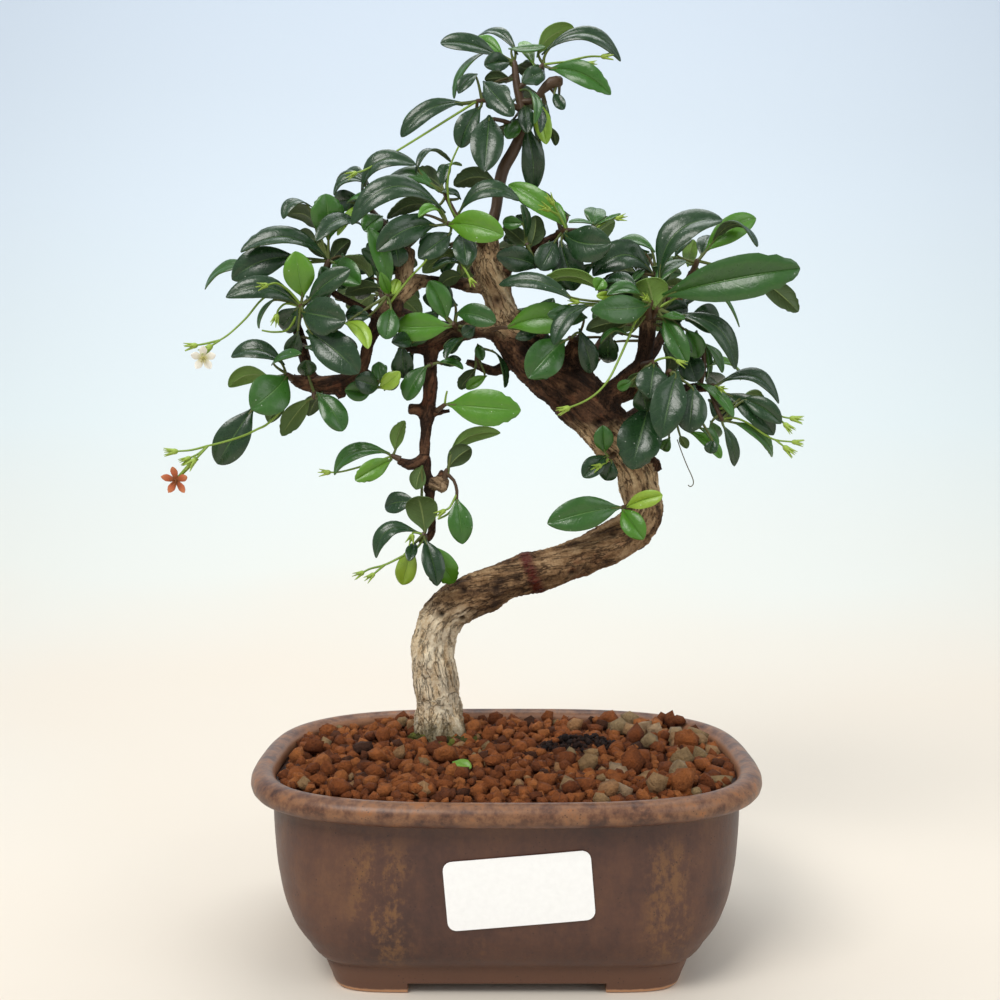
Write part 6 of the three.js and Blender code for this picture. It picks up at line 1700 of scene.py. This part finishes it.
def in_bowl(x, y, margin):
    half = RIM_HALF_WIDTH - RIM_ROLL - 1 - margin
    half_depth = RIM_HALF_DEPTH - RIM_ROLL - 1 - margin
    return abs(x / half) ** RIM_SQUARENESS + abs(y / half_depth) ** RIM_SQUARENESS < 1


def peat_distance(x, y):
    return math.hypot((x - PEAT_PLACE[0]) * 0.62, y - PEAT_PLACE[1])


def grain_size(random, x, y):
    """Mostly small grains, with pebbles at the right and fines in the peat."""
    size = mix(3.4, 6.4, random()) if random() < 0.74 else mix(6.4, 9.6, random())
    if x > 40 and random() < 0.3:
        size = mix(7.6, 11.5, random())
    if peat_distance(x, y) < PEAT_REACH:
        size = mix(1.6, 3.2, random())
    return size


def grain_tone(random, x, y, size):
    """Dark in the peat, tan or olive for a pebble at the right and now and then elsewhere, else red."""
    if peat_distance(x, y) < PEAT_REACH and random() < 0.92:
        return random.between(0, 0.08)
    if size > 7.6 and x > 34 and random() < 0.65:
        return random.between(0.74, 1.0)
    if random() < 0.04:
        return random.between(0.72, 0.92)
    if random() < 0.08:
        return random.between(0.16, 0.27)
    return random.between(0.3, 0.62)


def thrown_grains(random):
    """Places, sizes and levels of granules thrown down one after another, each clear of the last."""
    kept, cells = [], {}
    for count in range(GRAIN_TRIES):
        x = random.between(-THROW_HALF_WIDTH, THROW_HALF_WIDTH)
        y = random.between(-THROW_HALF_DEPTH, THROW_HALF_DEPTH)
        size = grain_size(random, x, y)
        if not in_bowl(x, y, size * 0.35) or (Vector((x, y)) - TRUNK_FOOT).length < TRUNK_REACH:
            continue
        level = 0 if count < GRAIN_TRIES * BASE_SHARE else 1
        column, row = int(x // GRAIN_CELL), int(y // GRAIN_CELL)
        around = [(column + dx, row + dy) for dx in (-1, 0, 1) for dy in (-1, 0, 1)]
        near = [grain for cell in around for grain in cells.get(cell, ()) if grain[3] == level]
        if all(math.hypot(x - g[0], y - g[1]) >= (size + g[2]) * GRAIN_SPACING for g in near):
            kept.append((x, y, size, level))
            cells.setdefault((column, row), []).append(kept[-1])
    return kept


def make_soil(shapes):
    """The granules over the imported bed."""
    random = Random(41)
    parts = []
    for x, y, size, level in thrown_grains(random) + [(*lump, CLOD_LEVEL) for lump in CLOD]:
        mesh = shapes[int(random() * GRAIN_SHAPES) % GRAIN_SHAPES].data.copy()
        tone = CLOD_TONE if level == CLOD_LEVEL else grain_tone(random, x, y, size)
        swell = noise.noise(Vector((x * 0.03, y * 0.03, 2))) * 2
        rise = swell + size * 0.1 + (0 if level == 0 else size * 0.34) + random.between(-0.8, 0.6)
        rise += PEAT_RISE * smoothstep(12, 4, peat_distance(x, y))
        if level == CLOD_LEVEL:
            rise = CLOD_RISE
        spin = Matrix.Rotation(random() * 6.3, 4, "Z") @ Matrix.Rotation(random() * 6.3, 4, "X")
        shift = Matrix.Translation(world((x, y, SOIL_TOP + rise)))
        mesh.transform(shift @ spin @ Matrix.Scale(size * 1.08 * MM, 4))
        set_values(mesh, "tone", tone)
        parts.append(new_object("grain", mesh))
    soil = join("soil_granules", parts)
    paint(soil, "soil")
    finish_piece(soil, 110, "soil")


def make_moss():
    """Low green cushions round the foot of the trunk."""
    random = Random(5)
    parts = []
    for _ in range(MOSS_TUFTS):
        turn = random.between(-2.9, 0.6)
        reach = random.between(9.5, 15.5) * (1.1 if math.cos(turn) > 0 else 0.85)
        x, y = TRUNK_FOOT.x + math.cos(turn) * reach, TRUNK_FOOT.y + math.sin(turn) * reach
        bpy.ops.mesh.primitive_ico_sphere_add(subdivisions=1, radius=0.5)
        tuft = bpy.context.object
        size = random.between(1.6, 4.2)
        seed = Vector((random() * 50, 0, 0))
        place_points(tuft.data, [
            world(Vector((x, y, SOIL_TOP + 1.6)) + v.co * size * (1 + noise.noise(v.co * 7 + seed) * 0.9))
            for v in tuft.data.vertices])
        set_values(tuft.data, "tone", random())
        parts.append(tuft)
    moss = join("moss", parts)
    paint(moss, "moss")
    finish_piece(moss, 60, "leaf")


# Loose and inner leaves

INNER_ROUNDS = 3
INNER_TRIES = 6
# Inner leaves: how deep they may lie, how near their twig and how clear of other leaves and wood
DEEPEST = 80
TWIG_REACH = 12
INNER_SPACING = 1.6
# Dense parts of the crown in the plane of the layout: x, z, half-width and half-height
DENSE_PARTS = [(-48, 256, 36, 38), (46, 244, 34, 48), (6, 286, 20, 28), (4, 338, 20, 24)]


def in_dense_part(point):
    reach = (point.y - EYE.y) / (LAYOUT_PLANE - EYE.y)
    x, z = EYE.x + (point.x - EYE.x) / reach, EYE.z + (point.z - EYE.z) / reach
    return any(((x - part[0]) / part[2]) ** 2 + ((z - part[1]) / part[3]) ** 2 < 1 for part in DENSE_PARTS)


def deeper_leaf(leaf, random):
    """A dark leaf behind another one, a little smaller and turned about the line of sight."""
    middle = leaf.centre(0.5)
    sight = (middle - EYE).normalized()
    turn = Matrix.Rotation(random.between(-1, 1), 4, sight)
    along = (turn @ (leaf.tip - leaf.base)).normalized()
    along = (along + sight * random.between(-0.4, 0.4)).normalized()
    reach = along * min(leaf.length, 24) * random.between(0.36, 0.46)
    middle = middle + sight * random.between(6, 18)
    facing = Vector([random.between(-0.6, 0.6) for _ in range(3)]) - sight
    width = min(leaf.width, 11) * random.between(0.85, 1)
    return Leaf(middle - reach, middle + reach, facing.normalized(), width, random() * 0.7)


def make_inner_leaves(layouts):
    """Dark leaves deeper in the crown, clear of those that are seen, each on a stalk from its twig."""
    random = Random(61)
    bones = bones_of(LIMBS + [stem for spray, _, _ in layouts for stem in spray["stems"]])
    shown = [leaf for _, leaves, _ in layouts for leaf in leaves]
    placed = [(samples, sphere_round(samples)) for samples in map(leaf_samples, shown)]
    made = []
    for leaf in shown * INNER_ROUNDS:
        if not in_dense_part(leaf.centre(0.5)):
            continue
        for _ in range(INNER_TRIES):
            inner = deeper_leaf(leaf, random)
            if not in_dense_part(inner.tip) or max(inner.base.y, inner.tip.y) > DEEPEST:
                continue
            bone = min(bones, key=lambda b: bone_distance(inner.base, b))
            if bone_distance(inner.base, bone) >= TWIG_REACH:
                continue
            samples = leaf_samples(inner)
            sphere = sphere_round(samples)
            if closest_approach(samples, sphere, placed, bones) > INNER_SPACING:
                span = bone[1] - bone[0]
                share = clamp((inner.base - bone[0]).dot(span) / span.length_squared)
                inner.foot = bone[0] + span * share
                placed.append((samples, sphere))
                made.append(inner)
                break
    stalks = stem_shoots("inner_stalks", [petiole_course(leaf) for leaf in made], INNER_TONE)
    blades = [grow_leaf(blanks["leaf"], leaf, random) for leaf in made]
    finish_piece(join("inner_leaves", [stalks] + blades), 60, "leaf")


def make_fallen_leaf():
    base, tip = Vector((-21, -22, SOIL_TOP + 5.4)), Vector((-13.5, -27, SOIL_TOP + 4.6))
    leaf = Leaf(base, tip, Vector((0.1, -0.75, 0.65)).normalized(), 4.6, 2.3)
    piece = grow_leaf(blanks["leaf"], leaf, Random(3))
    piece.name = "fallen_leaf"
    finish_piece(piece, 60, "leaf")


def make_dry_stalk():
    """A fine dried stalk that hangs under the low right spray."""
    points = [seen(x, z, 6) for x, z in [
        (73, 200), (75, 194.5), (77, 189.5), (79.7, 183.5), (80, 181), (78.8, 179.9), (77.8, 180.6)]]
    stalk = stem_shoots("dry_stalk", [tapered(eased_points(points), 0.22, 0.22)], INNER_TONE)
    finish_piece(stalk, 60, "leaf")


# Setting, in metres

FLOOR_FRONT, FLOOR_BACK = -1.2, 0.3
FLOOR_BEND = 1.6
FLOOR_RISE = 2.2
FLOOR_HALF_WIDTH = 3
CAMERA_SENSOR = 36
COOL = (0.97, 0.99, 1.0)
# Lamps: name, place, aim, size, watts and colour
LAMPS = [("window", (-0.5, -0.75, 1.1), (0, 0, 0.2), (0.7, 0.55), 12, (1.0, 0.98, 0.95)),
         ("fill", (0.95, -0.7, 0.7), (0, 0, 0.2), (0.8, 0.8), 3.6, COOL),
         ("top", (0.1, 0.3, 1.2), (0, 0, 0.2), (0.9, 0.6), 4.6, COOL),
         ("backdrop", (0, 0.5, 1.5), (0, 1.75, 0.6), (2.4, 0.6), 12.5, COOL)]
SKY_COLOUR = (0.92, 0.96, 1.0, 1)
SKY_STRENGTH = 0.5


def make_floor():
    """A pale sheet that lies flat and rises far behind."""
    bpy.ops.mesh.primitive_grid_add(x_subdivisions=2, y_subdivisions=60, size=2)
    floor = bpy.context.object
    floor.name = "floor"
    points = []
    flat = FLOOR_BACK - FLOOR_FRONT
    arc = FLOOR_BEND * math.pi / 2
    for vertex in floor.data.vertices:
        run = (vertex.co.y + 1) / 2 * (flat + arc + FLOOR_RISE)
        if run <= flat:
            y, z = FLOOR_FRONT + run, 0
        elif run <= flat + arc:
            angle = (run - flat) / FLOOR_BEND
            y, z = FLOOR_BACK + FLOOR_BEND * math.sin(angle), FLOOR_BEND * (1 - math.cos(angle))
        else:
            y, z = FLOOR_BACK + FLOOR_BEND, FLOOR_BEND + run - flat - arc
        points.append((vertex.co.x * FLOOR_HALF_WIDTH, y, z - 0.0003))
    place_points(floor.data, points)
    paint(floor, "floor")
    smooth(floor, 180)


def make_lights():
    for name, place, aim, size, watts, colour in LAMPS:
        lamp = bpy.data.lights.new(name, "AREA")
        lamp.shape = "RECTANGLE"
        lamp.size, lamp.size_y = size
        lamp.energy = watts
        lamp.color = colour
        holder = new_object(name, lamp)
        holder.location = place
        holder.rotation_mode = "QUATERNION"
        holder.rotation_quaternion = (Vector(aim) - Vector(place)).to_track_quat("-Z", "Y")
    sky = bpy.data.worlds.new("soft_sky")
    sky.use_nodes = True
    ground = sky.node_tree.nodes["Background"]
    ground.inputs["Color"].default_value = SKY_COLOUR
    ground.inputs["Strength"].default_value = SKY_STRENGTH
    bpy.context.scene.world = sky
    bpy.context.scene.view_settings.view_transform = "Standard"


def make_camera():
    lens = bpy.data.cameras.new("camera")
    lens.lens = CAMERA_LENS
    lens.sensor_width = CAMERA_SENSOR
    camera = new_object("camera", lens)
    camera.location = world(EYE)
    camera.rotation_euler = (math.pi / 2 - CAMERA_DIP, 0, 0)
    bpy.context.scene.camera = camera


# Making

deselect()
materials = {
    "glaze": glaze_finish(), "soil": soil_finish(), "bark": bark_finish(),
    "leaf_upper": leaf_upper_finish(), "leaf_under": leaf_under_finish(), "shoot": shoot_finish(),
    "paper": paper_finish(), "screen": mesh_finish(), "moss": moss_finish(), "floor": floor_finish(),
    "bed": bed_finish(),
    "faded": petal_finish("faded_petals", (120, 70, 34), (176, 92, 58), (196, 124, 84)),
    "pale": petal_finish("pale_petals", (176, 170, 96), (232, 228, 214), (244, 240, 230))}

make_camera()
make_lights()
make_floor()

make_pot()
make_label()
paint(frame["nodes"]["drain_screen_left"], "screen")
paint(frame["nodes"]["drain_screen_right"], "screen")
paint(frame["nodes"]["soil"], "bed")

grains = blank_grains()
make_soil(grains)
make_moss()
make_wood()

blanks = {"leaf": blank_leaf(), "calyx": blank_calyx()}
leaf_random = Random(97)
layouts = lay_out(SPRAYS + back_sprays())
for spray, leaves, stalks in layouts:
    leafy_stem(spray, leaves, stalks, leaf_random)
make_inner_leaves(layouts)
make_fallen_leaf()
make_dry_stalk()
make_flower(
    "faded_bloom", "faded", "faded_petal", "faded_flower", (-141, 182.5, -3), petal_length=6, tilt=-0.2)
make_flower(
    "pale_bloom", "pale", "pale_petal", "pale_flower", (-128.5, 234.5, -7), petal_length=5, tilt=0.2)
make_flower_necks()

for blank in [*grains, *blanks.values()]:
    bpy.data.objects.remove(blank)
